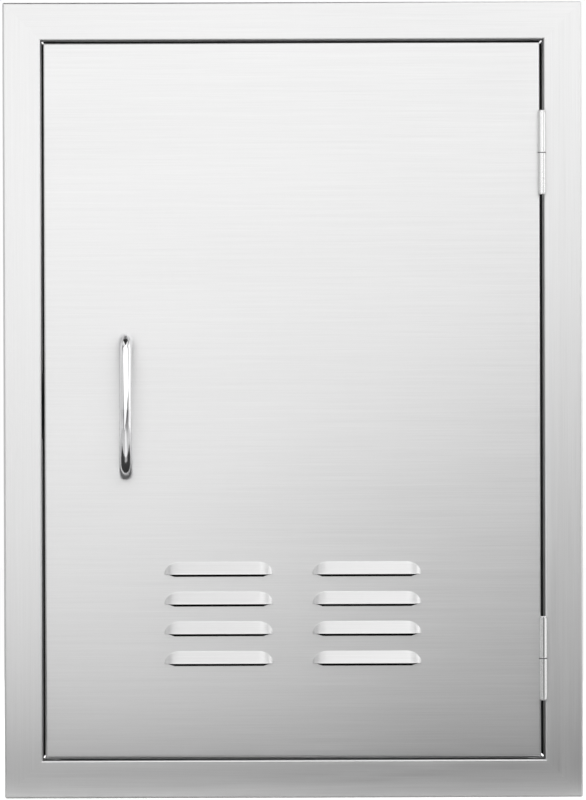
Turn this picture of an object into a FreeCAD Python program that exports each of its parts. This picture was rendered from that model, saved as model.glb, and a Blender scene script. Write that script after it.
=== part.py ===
import FreeCAD, Part
import os

import Sketcher
from FreeCAD import Placement, Rotation, Vector

# A vented access door for the side of an outdoor kitchen island, in millimetres.
# X runs to the right, Y into the wall and Z up. The origin is the centre of the cut-out, on the
# face of the wall, where the flange's outer lip rests. The door is closed.

SIZES = {
    # Sheet and its bends
    "sheet": 1.0,
    "bend_outside": 1.5,
    "bend_inside": 0.5,
    # Frame
    "frame_width": 406.4,
    "frame_height": 558.8,
    "flange_width": 26.8,
    "lip_depth": 6.0,
    "box_depth": 38.0,
    "rear_lip": 8.0,
    "corner_relief": 7.0,
    "wall_hole_radius": 2.25,
    "wall_hole_depth": 27.0,
    "wall_hole_pitch": 260.0,
    # Door tray
    "gap_latch": 1.8,
    "gap_hinge": 2.7,
    "gap_top": 1.9,
    "gap_bottom": 1.8,
    "tray_depth": 19.0,
    "tray_lip": 12.0,
    "lip_slit": 0.8,
    # Louvres: hoods that open downwards, measured from the lip of the lowest row
    "louvre_rows": 4,
    "louvre_columns": 2,
    "louvre_length": 76.4,
    "louvre_rise": 9.0,
    "louvre_stand": 4.6,
    "louvre_wall": 0.9,
    "louvre_face": 0.8,
    "louvre_slit": 1.4,
    "louvre_slit_inset": 5.6,
    "louvre_top_blend": 2.0,
    "louvre_row_pitch": 20.9,
    "louvre_column_pitch": 104.0,
    "louvre_left_centre": -52.5,
    "louvre_lowest_lip": -184.9,
    # Hinges
    "hinge_upper_centre": 173.4,
    "hinge_lower_centre": -181.8,
    "hinge_length": 59.4,
    "knuckle_radius": 3.0,
    "axis_stand": 3.1,
    "pin_radius": 2.0,
    "pin_fixed_clearance": 0.02,
    "pin_running_clearance": 0.06,
    "pin_head": 1.3,
    "pin_head_radius": 2.8,
    "knuckle_gap": 1.0,
    "washer_thickness": 0.6,
    "leaf": 1.0,
    "leaf_depth": 11.0,
    "leaf_relief": 0.6,
    "end_play": 0.2,
    # Angle behind the hinge edge of the door
    "angle_sheet": 1.2,
    "angle_flange": 14.0,
    "angle_web": 15.6,
    "angle_end_gap": 2.0,
    # Handle
    "handle_across": -117.4,
    "handle_centre": -4.15,
    "handle_feet": 95.0,
    "handle_stand": 27.0,
    "handle_post": 7.0,
    "handle_elbow": 13.0,
    "foot_half_width": 4.9,
    "foot_half_depth": 4.55,
    "grip_half_width": 4.2,
    "grip_half_depth": 3.25,
    "handle_screw_radius": 1.95,
    "handle_thread_radius": 2.0,
    "handle_thread_depth": 8.0,
    "handle_screw_length": 8.5,
    "handle_hole_radius": 2.3,
    "screw_head_radius": 3.8,
    "screw_head": 2.6,
    "handle_washer_radius": 6.0,
    "handle_washer": 1.0,
    # Magnetic catch and its strike
    "catch_height": 46.0,
    "catch_body_height": 27.0,
    "catch_body_width": 16.0,
    "catch_ear": 3.0,
    "catch_front": 15.6,
    "catch_depth": 15.0,
    "magnet_thickness": 3.2,
    "magnet_height": 20.0,
    "pole_thickness": 1.0,
    "pole_stand": 1.1,
    "magnet_recess": 0.6,
    "catch_screw_pitch": 37.0,
    "catch_screw_radius": 1.75,
    "catch_hole_radius": 1.9,
    "catch_slot_length": 4.0,
    "catch_screw_head_radius": 3.2,
    "catch_screw_head": 2.2,
    "catch_screw_length": 7.2,
    "nut_flats": 5.5,
    "nut_thickness": 2.2,
    "nut_clearance": 0.05,
    "strike_height": 42.0,
    "strike_width": 10.0,
    "strike_sheet": 1.2,
    "strike_shift": 0.7,
}

# Faces and lines that several pieces share, as expressions on the sheet
FACE = "-size.lip_depth"
OPENING_X = "(size.frame_width / 2 - size.flange_width)"
OPENING_Z = "(size.frame_height / 2 - size.flange_width)"
DOOR_LEFT = f"(-{OPENING_X} + size.gap_latch)"
DOOR_RIGHT = f"({OPENING_X} - size.gap_hinge)"
DOOR_BOTTOM = f"(-{OPENING_Z} + size.gap_bottom)"
DOOR_TOP = f"({OPENING_Z} - size.gap_top)"
DOOR_BACK = "(size.tray_depth - size.lip_depth)"
AXIS_X = f"({OPENING_X} - size.gap_hinge / 2)"
AXIS_Y = "(-size.lip_depth - size.axis_stand)"
KNUCKLE = "(size.hinge_length / 2 - size.pin_head)"

doc = FreeCAD.newDocument("access_door")
sheet = doc.addObject("Spreadsheet::Sheet", "size")
NODES = []


def fill_sheet():
    """Write every driving dimension into its own row, with its name as the alias."""
    for row, (name, number) in enumerate(SIZES.items(), start=1):
        sheet.set(f"A{row}", name)
        sheet.set(f"B{row}", str(number))
        sheet.setAlias(f"B{row}", name)
    doc.recompute()


def number(expression):
    """The value in millimetres of an expression on the sheet."""
    result = sheet.evalExpression(expression)
    return float(getattr(result, "Value", result))


def point(across, along):
    return Vector(number(across), number(along), 0)


def bind(item, **expressions):
    """Bind properties to expressions. A double underscore in a name stands for a dot."""
    for name, expression in expressions.items():
        item.setExpression(name.replace("__", "."), expression)


def node(item, label):
    """Keep an object as one piece of the assembly, under the name of its file."""
    item.Label = label
    NODES.append(item)
    return item


def new_body(label):
    return node(doc.addObject("PartDesign::Body", label), label)


def new_sketch(body, plane, name, offset=None):
    """A sketch on one of the body's origin planes, or moved off it along its normal."""
    support = next(item for item in body.Origin.OriginFeatures if item.Role == plane)
    sketch = body.newObject("Sketcher::SketchObject", name)
    sketch.AttachmentSupport = (support, "")
    sketch.MapMode = "FlatFace"
    if offset:
        sketch.setExpression("AttachmentOffset.Base.z", offset)
    return sketch


def hold(sketch, geometry, end, across, along):
    """Hold one point of the sketch at two distances from its origin."""
    for kind, expression in (("DistanceX", across), ("DistanceY", along)):
        index = sketch.addConstraint(
            Sketcher.Constraint(kind, -1, 1, geometry, end, number(expression))
        )
        sketch.setExpression(f"Constraints[{index}]", expression)


def draw_outline(sketch, corners):
    """A closed outline of straight lines through corners given as pairs of expressions."""
    first = sketch.GeometryCount
    places = [point(across, along) for across, along in corners]
    for begin, end in zip(places, places[1:] + places[:1]):
        sketch.addGeometry(Part.LineSegment(begin, end))
    for step, (across, along) in enumerate(corners):
        following = first + (step + 1) % len(corners)
        sketch.addConstraint(Sketcher.Constraint("Coincident", first + step, 2, following, 1))
        hold(sketch, first + step, 1, across, along)


def draw_box(sketch, left, right, low, high):
    draw_outline(sketch, [(left, low), (right, low), (right, high), (left, high)])


def draw_circle(sketch, across, along, radius):
    circle = sketch.addGeometry(
        Part.Circle(point(across, along), Vector(0, 0, 1), number(radius))
    )
    hold(sketch, circle, 3, across, along)
    index = sketch.addConstraint(Sketcher.Constraint("Radius", circle, number(radius)))
    sketch.setExpression(f"Constraints[{index}]", radius)


def draw_slot(sketch, across, along, radius, half_length):
    """A slot that runs along the sketch's vertical axis, its ends half circles."""
    left, right = f"{across} - {radius}", f"{across} + {radius}"
    low, high = f"{along} - ({half_length} - {radius})", f"{along} + ({half_length} - {radius})"
    reach = number(radius)
    bottom = sketch.addGeometry(
        Part.Arc(
            point(left, low), point(across, low) + Vector(0, -reach, 0), point(right, low)
        )
    )
    top = sketch.addGeometry(
        Part.Arc(
            point(right, high), point(across, high) + Vector(0, reach, 0), point(left, high)
        )
    )
    up = sketch.addGeometry(Part.LineSegment(point(right, low), point(right, high)))
    down = sketch.addGeometry(Part.LineSegment(point(left, high), point(left, low)))
    for arc, before, after in ((bottom, down, up), (top, up, down)):
        sketch.addConstraint(Sketcher.Constraint("Tangent", arc, 1, before, 2))
        sketch.addConstraint(Sketcher.Constraint("Tangent", arc, 2, after, 1))
    hold(sketch, bottom, 3, across, low)
    hold(sketch, top, 3, across, high)
    index = sketch.addConstraint(Sketcher.Constraint("Radius", bottom, reach))
    sketch.setExpression(f"Constraints[{index}]", radius)


def add_feature(body, kind, name, sketch, length=None, reversed_way=False, through=False):
    """A pad or a pocket. With no length it goes both ways, half of it each."""
    feature = body.newObject(f"PartDesign::{kind}", name)
    feature.Profile = sketch
    feature.Reversed = reversed_way
    if through:
        feature.Type = "ThroughAll"
    if length:
        feature.setExpression("Length", length)
    return feature


def both_ways(feature):
    feature.SideType = "Symmetric"
    return feature


def turn(body, kind, name, sketch, axis, angle=360.0, reversed_way=False):
    """A revolution or a groove about an axis of its own sketch."""
    feature = body.newObject(f"PartDesign::{kind}", name)
    feature.Profile = sketch
    feature.ReferenceAxis = (sketch, [axis])
    feature.Angle = angle
    feature.Reversed = reversed_way
    return feature


def edge_names(feature, wanted):
    """The names of the edges for which wanted(edge) is true."""
    return [
        f"Edge{index}"
        for index, edge in enumerate(feature.Shape.Edges, start=1)
        if wanted(edge)
    ]


def fillet(body, name, base, wanted, radius):
    """Round the wanted edges of the feature, which is computed first so that they exist."""
    doc.recompute()
    names = edge_names(base, wanted)
    if not names:
        raise ValueError(f"{body.Label}: {name} finds no edge to round")
    feature = body.newObject("PartDesign::Fillet", name)
    feature.Base = (base, names)
    feature.setExpression("Radius", radius)
    return feature


def near(first, second, within=1e-4):
    return abs(first - second) < within


def runs_through(*places):
    """A test for straight edges along Z through any of the places, pairs of numbers in X and Y."""

    def wanted(edge):
        middle = edge.BoundBox.Center
        upright = edge.BoundBox.XLength < 1e-3 and edge.BoundBox.YLength < 1e-3
        return upright and any(near(middle.x, x) and near(middle.y, y) for x, y in places)

    return wanted


def place(item, across="0", deep="0", up="0"):
    bind(item, Placement__Base__x=across, Placement__Base__y=deep, Placement__Base__z=up)


# Frame


def frame_member(label, half_across, half_along, angle):
    """One folded member of the frame, drawn as the left one and turned about Y to its side.

    Its section is the outer lip, the face flange, the box wall and the rear lip, and both ends are
    mitred from the outer corner inwards.
    """
    body = new_body(label)
    outside = f"-{half_across}"
    wall = f"(-{half_across} + size.flange_width)"
    section = [
        (outside, "0"),
        (outside, FACE),
        (wall, FACE),
        (wall, "size.box_depth - size.sheet"),
        (f"{wall} + size.rear_lip", "size.box_depth - size.sheet"),
        (f"{wall} + size.rear_lip", "size.box_depth"),
        (f"{wall} - size.sheet", "size.box_depth"),
        (f"{wall} - size.sheet", f"{FACE} + size.sheet"),
        (f"{outside} + size.sheet", f"{FACE} + size.sheet"),
        (f"{outside} + size.sheet", "0"),
    ]
    sketch = new_sketch(body, "XY_Plane", "member_section")
    draw_outline(sketch, section)
    strip = both_ways(add_feature(body, "Pad", "folded_strip", sketch, f"2 * {half_along}"))
    corners = [(number(across), number(deep)) for across, deep in section]
    outer = fillet(
        body, "outer_bends", strip, runs_through(corners[1], corners[2], corners[6]),
        "size.bend_outside",
    )
    inner = fillet(
        body, "inner_bends", outer, runs_through(corners[3], corners[7], corners[8]),
        "size.bend_inside",
    )
    doc.recompute()
    reach = "(size.flange_width + size.rear_lip + size.sheet)"
    mitres = new_sketch(body, "XZ_Plane", "mitres")
    for end in (f"{half_along}", f"-{half_along}"):
        inward = f"{end} - {reach}" if end == half_along else f"{end} + {reach}"
        inside = f"{outside} + {reach}"
        draw_outline(mitres, [(outside, end), (inside, end), (inside, inward)])
    both_ways(add_feature(body, "Pocket", "mitred_ends", mitres, through=True))
    reliefs = new_sketch(body, "XZ_Plane", "lip_reliefs")
    for way in ("", "-"):
        draw_box(
            reliefs,
            wall,
            f"{wall} + {reach}",
            f"{way}({half_along} - size.flange_width - size.corner_relief)",
            f"{way}{half_along}",
        )
    both_ways(add_feature(body, "Pocket", "lip_ends", reliefs, through=True))
    body.Placement = Placement(Vector(0, 0, 0), Rotation(Vector(0, 1, 0), angle))
    return body


def wall_holes(body, name, deep, heights, radius):
    """Round holes through the box wall of a stile."""
    sketch = new_sketch(body, "YZ_Plane", name)
    for height in heights:
        draw_circle(sketch, deep, height, radius)
    add_feature(body, "Pocket", f"{name}_cut", sketch, through=True)


def build_frame():
    half_width, half_height = "size.frame_width / 2", "size.frame_height / 2"
    left = frame_member("frame_left_stile", half_width, half_height, 0)
    frame_member("frame_top_rail", half_height, half_width, 90)
    right = frame_member("frame_right_stile", half_width, half_height, 180)
    frame_member("frame_bottom_rail", half_height, half_width, 270)
    screws = [f"{sign}size.wall_hole_pitch / 2" for sign in ("-", "+")]
    for stile in (left, right):
        wall_holes(stile, "screw_holes", "size.wall_hole_depth", screws, "size.wall_hole_radius")
    wall_holes(left, "catch_holes", CATCH_MIDDLE, CATCH_SCREWS, "size.catch_hole_radius")


# Hinges

HINGES = ("upper", "lower")
def hinge_centre(side):
    return f"size.hinge_{side}_centre"


def hinge_leaf(side, owner):
    """A leaf in the gap beside the door, its knuckle rolled round the pin in front of the gap.

    The leaf lies flat on the box wall or on the door's side, to which it is spot-welded. The
    frame's leaf has the lower knuckle and the door's the upper one. It is drawn about the pin, at
    the middle of the hinge.
    """
    of_frame = owner == "frame"
    body = new_body(f"hinge_{side}_{owner}_leaf")
    near_side = "size.gap_hinge / 2" if of_frame else "-size.gap_hinge / 2"
    far_side = f"{near_side} - size.leaf" if of_frame else f"{near_side} + size.leaf"
    way = "-" if of_frame else ""
    knuckle_length = f"({KNUCKLE} - size.knuckle_gap / 2)"
    root = "size.axis_stand + size.leaf_relief"

    plate = new_sketch(body, "XY_Plane", "plate_section")
    draw_box(plate, near_side, far_side, root, f"size.leaf_depth - {AXIS_Y}")
    both_ways(add_feature(body, "Pad", "plate", plate, f"2 * {KNUCKLE}"))

    bore = "size.pin_radius + size.pin_fixed_clearance"
    if not of_frame:
        bore = "size.pin_radius + size.pin_running_clearance"
    start = f"{way}size.knuckle_gap / 2"
    ring = new_sketch(body, "XY_Plane", "knuckle_section", start)
    draw_circle(ring, "0", "0", "size.knuckle_radius")
    add_feature(body, "Pad", "knuckle", ring, knuckle_length, reversed_way=of_frame)
    neck = new_sketch(body, "XY_Plane", "neck_section", start)
    draw_box(neck, near_side, far_side, "0", f"{root} + size.leaf")
    add_feature(body, "Pad", "neck", neck, knuckle_length, reversed_way=of_frame)
    hole = new_sketch(body, "XY_Plane", "bore_section")
    draw_circle(hole, "0", "0", bore)
    both_ways(add_feature(body, "Pocket", "bore", hole, through=True))

    place(body, AXIS_X, AXIS_Y, hinge_centre(side))
    return body


def hinge_pin(side):
    """A pin with a flat head beyond each knuckle, turned from one outline."""
    body = new_body(f"hinge_{side}_pin")
    half = "(size.hinge_length / 2)"
    under = f"({KNUCKLE})"
    sketch = new_sketch(body, "XZ_Plane", "half_outline")
    draw_outline(
        sketch,
        [
            ("0", f"-{half}"),
            ("size.pin_head_radius", f"-{half}"),
            ("size.pin_head_radius", f"-{under}"),
            ("size.pin_radius", f"-{under}"),
            ("size.pin_radius", f"{under} + size.end_play"),
            ("size.pin_head_radius", f"{under} + size.end_play"),
            ("size.pin_head_radius", half),
            ("0", half),
        ],
    )
    turn(body, "Revolution", "turned_pin", sketch, "V_Axis")
    place(body, AXIS_X, AXIS_Y, hinge_centre(side))
    return body


def ring(label, outer, inner, thickness):
    """A flat washer about Z, its lower face on the origin plane."""
    body = doc.addObject("PartDesign::Body", label)
    body.Label = label
    sketch = new_sketch(body, "XY_Plane", "ring_section")
    draw_circle(sketch, "0", "0", outer)
    draw_circle(sketch, "0", "0", inner)
    add_feature(body, "Pad", "ring", sketch, thickness)
    return body


def group(label, items):
    """Like pieces that share one node, each its own solid."""
    compound = doc.addObject("Part::Compound", label)
    compound.Links = items
    return node(compound, label)


def build_hinges():
    for side in HINGES:
        for owner in ("frame", "door"):
            hinge_leaf(side, owner)
        hinge_pin(side)
        washer = ring(
            f"hinge_{side}_washer",
            "size.knuckle_radius - 0.1",
            "size.pin_radius + size.pin_running_clearance",
            "size.washer_thickness",
        )
        place(washer, AXIS_X, AXIS_Y, f"{hinge_centre(side)} - size.knuckle_gap / 2")
        NODES.append(washer)


# Door


def perimeter(inset, depth):
    """A test for the four straight edges that lie one inset inside the door's outline."""
    sides = [number(f"{DOOR_LEFT} + {inset}"), number(f"{DOOR_RIGHT} - {inset}")]
    ends = [number(f"{DOOR_BOTTOM} + {inset}"), number(f"{DOOR_TOP} - {inset}")]

    def wanted(edge):
        box = edge.BoundBox
        level = box.YLength < 1e-3 and near(box.Center.y, number(depth), 1e-3)
        upright = box.XLength < 1e-3 and any(near(box.Center.x, side, 1e-3) for side in sides)
        lying = box.ZLength < 1e-3 and any(near(box.Center.z, end, 1e-3) for end in ends)
        return level and (upright or lying)

    return wanted


def louvre_features(body):
    """One pressed louvre, the left one of the lowest row: what it adds, then what it opens.

    Its hood is a straight run with a quarter turn of the same section at each end. The lip is
    left free of the skin below it, where a slit shows.
    """
    lip = "size.louvre_lowest_lip"
    crest = f"{FACE} - size.louvre_stand"
    skin_back = f"{FACE} + size.sheet"
    middle = "size.louvre_left_centre"
    straight = "(size.louvre_length - 2 * size.louvre_rise)"
    buried = f"{FACE} + size.sheet / 2"
    outside = [
        (buried, "0"),
        (crest, "0"),
        (crest, "size.louvre_face"),
        (FACE, "size.louvre_rise"),
        (buried, "size.louvre_rise"),
    ]
    inner_crest = f"{crest} + size.louvre_wall"
    inner_top = "size.louvre_rise - 1.6 * size.louvre_wall"
    past_skin = f"{skin_back} + size.sheet"
    inside = [
        (past_skin, "0"),
        (inner_crest, "0"),
        (inner_crest, "size.louvre_face"),
        (skin_back, inner_top),
        (past_skin, inner_top),
    ]

    def section(name, outline, offset):
        sketch = new_sketch(body, "YZ_Plane", name)
        bind(
            sketch,
            AttachmentOffset__Base__z=offset,
            AttachmentOffset__Base__y=lip,
        )
        draw_outline(sketch, outline)
        return sketch

    made = []
    for kind, turned, outline, word in (
        ("Pad", "Revolution", outside, "hood"),
        ("Pocket", "Groove", inside, "hollow"),
    ):
        run = both_ways(
            add_feature(body, kind, f"{word}_run", section(f"{word}_section", outline, middle), straight)
        )
        made.append(run)
        for name, sign in (("left", "-"), ("right", "+")):
            offset = f"{middle} {sign} {straight} / 2"
            sketch = section(f"{word}_{name}_section", outline, offset)
            made.append(
                turn(body, turned, f"{word}_{name}_end", sketch, "H_Axis", 90.0, name == "left")
            )
    slit = new_sketch(body, "XZ_Plane", "slit_outline")
    half = "(size.louvre_length / 2 - size.louvre_slit_inset)"
    draw_box(slit, f"{middle} - {half}", f"{middle} + {half}", f"{lip} - size.louvre_slit", lip)
    made.append(both_ways(add_feature(body, "Pocket", "slit", slit, "size.tray_depth")))
    return made


def build_door_skin():
    """A tray folded from one sheet: skin, four returns and four rear lips, with pressed louvres."""
    body = new_body("door_skin")
    skin_back = f"{FACE} + size.sheet"
    lip_front = f"{DOOR_BACK} - size.sheet"

    def inset_box(sketch, inset):
        draw_box(
            sketch,
            f"{DOOR_LEFT} + {inset}",
            f"{DOOR_RIGHT} - {inset}",
            f"{DOOR_BOTTOM} + {inset}",
            f"{DOOR_TOP} - {inset}",
        )

    outline = new_sketch(body, "XZ_Plane", "door_outline", f"-({DOOR_BACK})")
    inset_box(outline, "0")
    add_feature(body, "Pad", "tray_block", outline, "size.tray_depth")
    inside = new_sketch(body, "XZ_Plane", "inside_outline", f"-({DOOR_BACK})")
    inset_box(inside, "size.sheet")
    depth = "size.tray_depth - size.sheet"
    add_feature(body, "Pocket", "tray_inside", inside, depth, reversed_way=True)
    lips = new_sketch(body, "XZ_Plane", "lip_outline", f"-({DOOR_BACK})")
    inset_box(lips, "size.sheet / 2")
    inset_box(lips, "size.tray_lip")
    folded = add_feature(body, "Pad", "rear_lips", lips, "size.sheet")
    outer = fillet(
        body,
        "outer_bends",
        folded,
        lambda edge: perimeter("0", FACE)(edge) or perimeter("0", DOOR_BACK)(edge),
        "size.bend_outside",
    )
    fillet(
        body,
        "inner_bends",
        outer,
        lambda edge: perimeter("size.sheet", skin_back)(edge)
        or perimeter("size.sheet", lip_front)(edge),
        "size.bend_inside",
    )
    doc.recompute()
    slits = new_sketch(body, "XZ_Plane", "mitre_slits", f"-({DOOR_BACK})")
    reach = "(size.tray_lip + size.sheet)"
    for side, along in ((DOOR_LEFT, "+"), (DOOR_RIGHT, "-")):
        for end, up in ((DOOR_BOTTOM, "+"), (DOOR_TOP, "-")):
            inner = f"{side} {along} {reach}"
            upper = f"{end} {up} {reach}"
            draw_outline(
                slits,
                [
                    (f"{side} {along} size.sheet", f"{end} {up} size.sheet"),
                    (f"{inner} {along} size.lip_slit", upper),
                    (inner, f"{upper} {up} size.lip_slit"),
                ],
            )
    add_feature(body, "Pocket", "mitre_slits_cut", slits, "2 * size.sheet", reversed_way=True)

    made = louvre_features(body)
    doc.recompute()
    pattern = body.newObject("PartDesign::LinearPattern", "louvre_grid")
    pattern.Originals = made
    x_axis = next(item for item in body.Origin.OriginFeatures if item.Role == "X_Axis")
    z_axis = next(item for item in body.Origin.OriginFeatures if item.Role == "Z_Axis")
    pattern.Direction = (z_axis, [""])
    pattern.Direction2 = (x_axis, [""])
    bind(
        pattern,
        Occurrences="size.louvre_rows",
        Length="(size.louvre_rows - 1) * size.louvre_row_pitch",
        Occurrences2="size.louvre_columns",
        Length2="(size.louvre_columns - 1) * size.louvre_column_pitch",
    )
    body.Tip = pattern

    straight = number("size.louvre_length - 2 * size.louvre_rise")
    rise = number("size.louvre_rise")

    def hood_rim(edge):
        box = edge.BoundBox
        level = box.YLength < 1e-3 and near(box.Center.y, number(FACE), 1e-3)
        turned = "Circle" in edge.Curve.TypeId and near(edge.Curve.Radius, rise, 1e-3)
        run = box.ZLength < 1e-3 and near(box.XLength, straight, 1e-3)
        above = (box.ZMax - number("size.louvre_lowest_lip")) % number("size.louvre_row_pitch")
        return level and (turned or (run and near(above, rise, 1e-3)))

    fillet(body, "hood_rims", pattern, hood_rim, "size.louvre_top_blend")
    doc.recompute()

    handle_holes = new_sketch(body, "XZ_Plane", "handle_holes")
    for height in HANDLE_SCREWS:
        draw_circle(handle_holes, "size.handle_across", height, "size.handle_hole_radius")
    both_ways(add_feature(body, "Pocket", "handle_holes_cut", handle_holes, "4 * size.lip_depth"))
    return body


def build_stiffener():
    """A folded angle inside the tray that backs the hinge edge, where the leaves are welded."""
    body = new_body("door_hinge_stiffener")
    corner = f"({DOOR_RIGHT} - size.sheet)"
    skin = f"({FACE} + size.sheet)"
    section = [
        (corner, skin),
        (corner, f"{skin} + size.angle_web"),
        (f"{corner} - size.angle_sheet", f"{skin} + size.angle_web"),
        (f"{corner} - size.angle_sheet", f"{skin} + size.angle_sheet"),
        (f"{corner} - size.angle_flange", f"{skin} + size.angle_sheet"),
        (f"{corner} - size.angle_flange", skin),
    ]
    bottom = f"({DOOR_BOTTOM} + size.sheet + size.angle_end_gap)"
    sketch = new_sketch(body, "XY_Plane", "angle_section", bottom)
    draw_outline(sketch, section)
    length = f"{DOOR_TOP} - size.sheet - size.angle_end_gap - {bottom}"
    angle = add_feature(body, "Pad", "angle", sketch, length)
    places = [(number(across), number(deep)) for across, deep in section]
    outer = fillet(
        body, "outer_bend", angle, runs_through(places[0]), "size.bend_inside + size.angle_sheet"
    )
    fillet(body, "inner_bend", outer, runs_through(places[3]), "size.bend_inside")
    return body


# Handle

ELBOW_STEPS = 4
BOW_STEPS = 3
HANDLE_SCREWS = [f"size.handle_centre {sign} size.handle_feet / 2" for sign in ("-", "+")]


# The bow's centre line, in the plane of the posts: a straight post, an elbow and half of a long arc
# that the elbow touches from inside, then the same again. Out is away from the door.
BOW_RISE = "(size.handle_stand - size.handle_post)"
BOW_REACH = "(size.handle_feet / 2 - size.handle_elbow)"
BOW_RADIUS = (
    f"(({BOW_RISE} ^ 2 + {BOW_REACH} ^ 2 - size.handle_elbow ^ 2)"
    f" / (2 * ({BOW_RISE} - size.handle_elbow)))"
)
BOW_TURN = f"asin({BOW_REACH} / ({BOW_RADIUS} - size.handle_elbow))"


def bow_stations():
    """From the upper foot to the crest: how far out, how far up and the angle turned there."""
    stations = [("0", "size.handle_feet / 2", "90 deg")]
    for step in range(ELBOW_STEPS):
        angle = f"({BOW_TURN} + (90 deg - {BOW_TURN}) * {1 - step / ELBOW_STEPS})"
        out = f"size.handle_post + size.handle_elbow * cos({angle})"
        up = f"{BOW_REACH} + size.handle_elbow * sin({angle})"
        stations.append((out, up, angle))
    for step in range(BOW_STEPS + 1):
        angle = f"({BOW_TURN} * {1 - step / BOW_STEPS})"
        out = f"size.handle_stand - {BOW_RADIUS} * (1 - cos({angle}))"
        stations.append((out, f"{BOW_RADIUS} * sin({angle})", angle))
    return stations


def draw_oval(sketch, half_width, half_depth):
    """An ellipse about the sketch's origin, its longer axis level."""
    wide, deep = number(half_width), number(half_depth)
    oval = sketch.addGeometry(Part.Ellipse(Vector(wide, 0, 0), Vector(0, deep, 0), Vector()))
    sketch.exposeInternalGeometry(oval)
    long_axis, short_axis = oval + 1, oval + 2
    sketch.addConstraint(Sketcher.Constraint("Coincident", oval, 3, -1, 1))
    sketch.addConstraint(Sketcher.Constraint("Horizontal", long_axis))
    for axis, half in ((long_axis, half_width), (short_axis, half_depth)):
        index = sketch.addConstraint(Sketcher.Constraint("Distance", axis, 2 * number(half)))
        sketch.setExpression(f"Constraints[{index}]", f"2 * ({half})")


def build_handle():
    """A cast bow pull: ovals along its centre line, widest at the two feet and waisted between."""
    body = new_body("handle")
    upper = bow_stations()
    lower = [(out, f"-({up})", f"-({angle})") for out, up, angle in reversed(upper[:-1])]
    ovals = []
    for count, (out, up, angle) in enumerate(upper + lower, start=1):
        share = f"(({up}) / (size.handle_feet / 2)) ^ 2"
        sketch = new_sketch(body, "XY_Plane", f"oval_{count}")
        sketch.AttachmentOffset = Placement(Vector(), Rotation(Vector(1, 0, 0), 1))
        bind(
            sketch,
            AttachmentOffset__Base__y=f"-({out})",
            AttachmentOffset__Base__z=up,
            AttachmentOffset__Rotation__Angle=f"-({angle})",
        )
        draw_oval(
            sketch,
            f"size.grip_half_width + (size.foot_half_width - size.grip_half_width) * {share}",
            f"size.grip_half_depth + (size.foot_half_depth - size.grip_half_depth) * {share}",
        )
        ovals.append(sketch)
    doc.recompute()
    bow = body.newObject("PartDesign::AdditiveLoft", "bow")
    bow.Profile = ovals[0]
    bow.Sections = ovals[1:]
    bow.Ruled = True
    doc.recompute()
    threads = new_sketch(body, "XZ_Plane", "thread_centres")
    for sign in ("-", "+"):
        draw_circle(threads, "0", f"{sign}size.handle_feet / 2", "size.handle_thread_radius")
    add_feature(
        body, "Pocket", "thread_holes", threads, "size.handle_thread_depth", reversed_way=True
    )
    place(body, "size.handle_across", FACE, "size.handle_centre")
    return body


def screw(label, radius, length, head_radius, head):
    """A pan-head screw along Z: its head's seat on the origin plane, its shank below it."""
    body = doc.addObject("PartDesign::Body", label)
    sketch = new_sketch(body, "XZ_Plane", "half_outline")
    draw_outline(
        sketch,
        [
            ("0", f"-{length}"),
            (radius, f"-{length}"),
            (radius, "0"),
            (head_radius, "0"),
            (head_radius, head),
            ("0", head),
        ],
    )
    turn(body, "Revolution", "turned_screw", sketch, "V_Axis")
    return body


def build_handle_fasteners():
    seat = f"{FACE} + size.sheet + size.handle_washer"
    screws, washers = [], []
    for count, height in enumerate(HANDLE_SCREWS, start=1):
        item = screw(
            f"handle_screw_{count}",
            "size.handle_screw_radius",
            "size.handle_screw_length",
            "size.screw_head_radius",
            "size.screw_head",
        )
        item.Placement = Placement(Vector(0, 0, 0), Rotation(Vector(1, 0, 0), -90))
        place(item, "size.handle_across", seat, height)
        screws.append(item)
        washer = ring(
            f"handle_washer_{count}",
            "size.handle_washer_radius",
            "size.handle_hole_radius",
            "size.handle_washer",
        )
        washer.Placement = Placement(Vector(0, 0, 0), Rotation(Vector(1, 0, 0), -90))
        place(washer, "size.handle_across", f"{FACE} + size.sheet", height)
        washers.append(washer)
    group("handle_screws", screws)
    group("handle_washers", washers)


# Magnetic catch on the left box wall and its strike on the door

CATCH_MIDDLE = "(size.catch_front + size.catch_depth / 2)"
CATCH_SCREWS = [f"size.handle_centre {sign} size.catch_screw_pitch / 2" for sign in ("-", "+")]
STRIKE_X = f"({DOOR_LEFT} + size.tray_lip / 2 + size.strike_shift)"
MAGNET_X = "(size.magnet_thickness / 2 + size.pole_thickness)"


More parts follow.
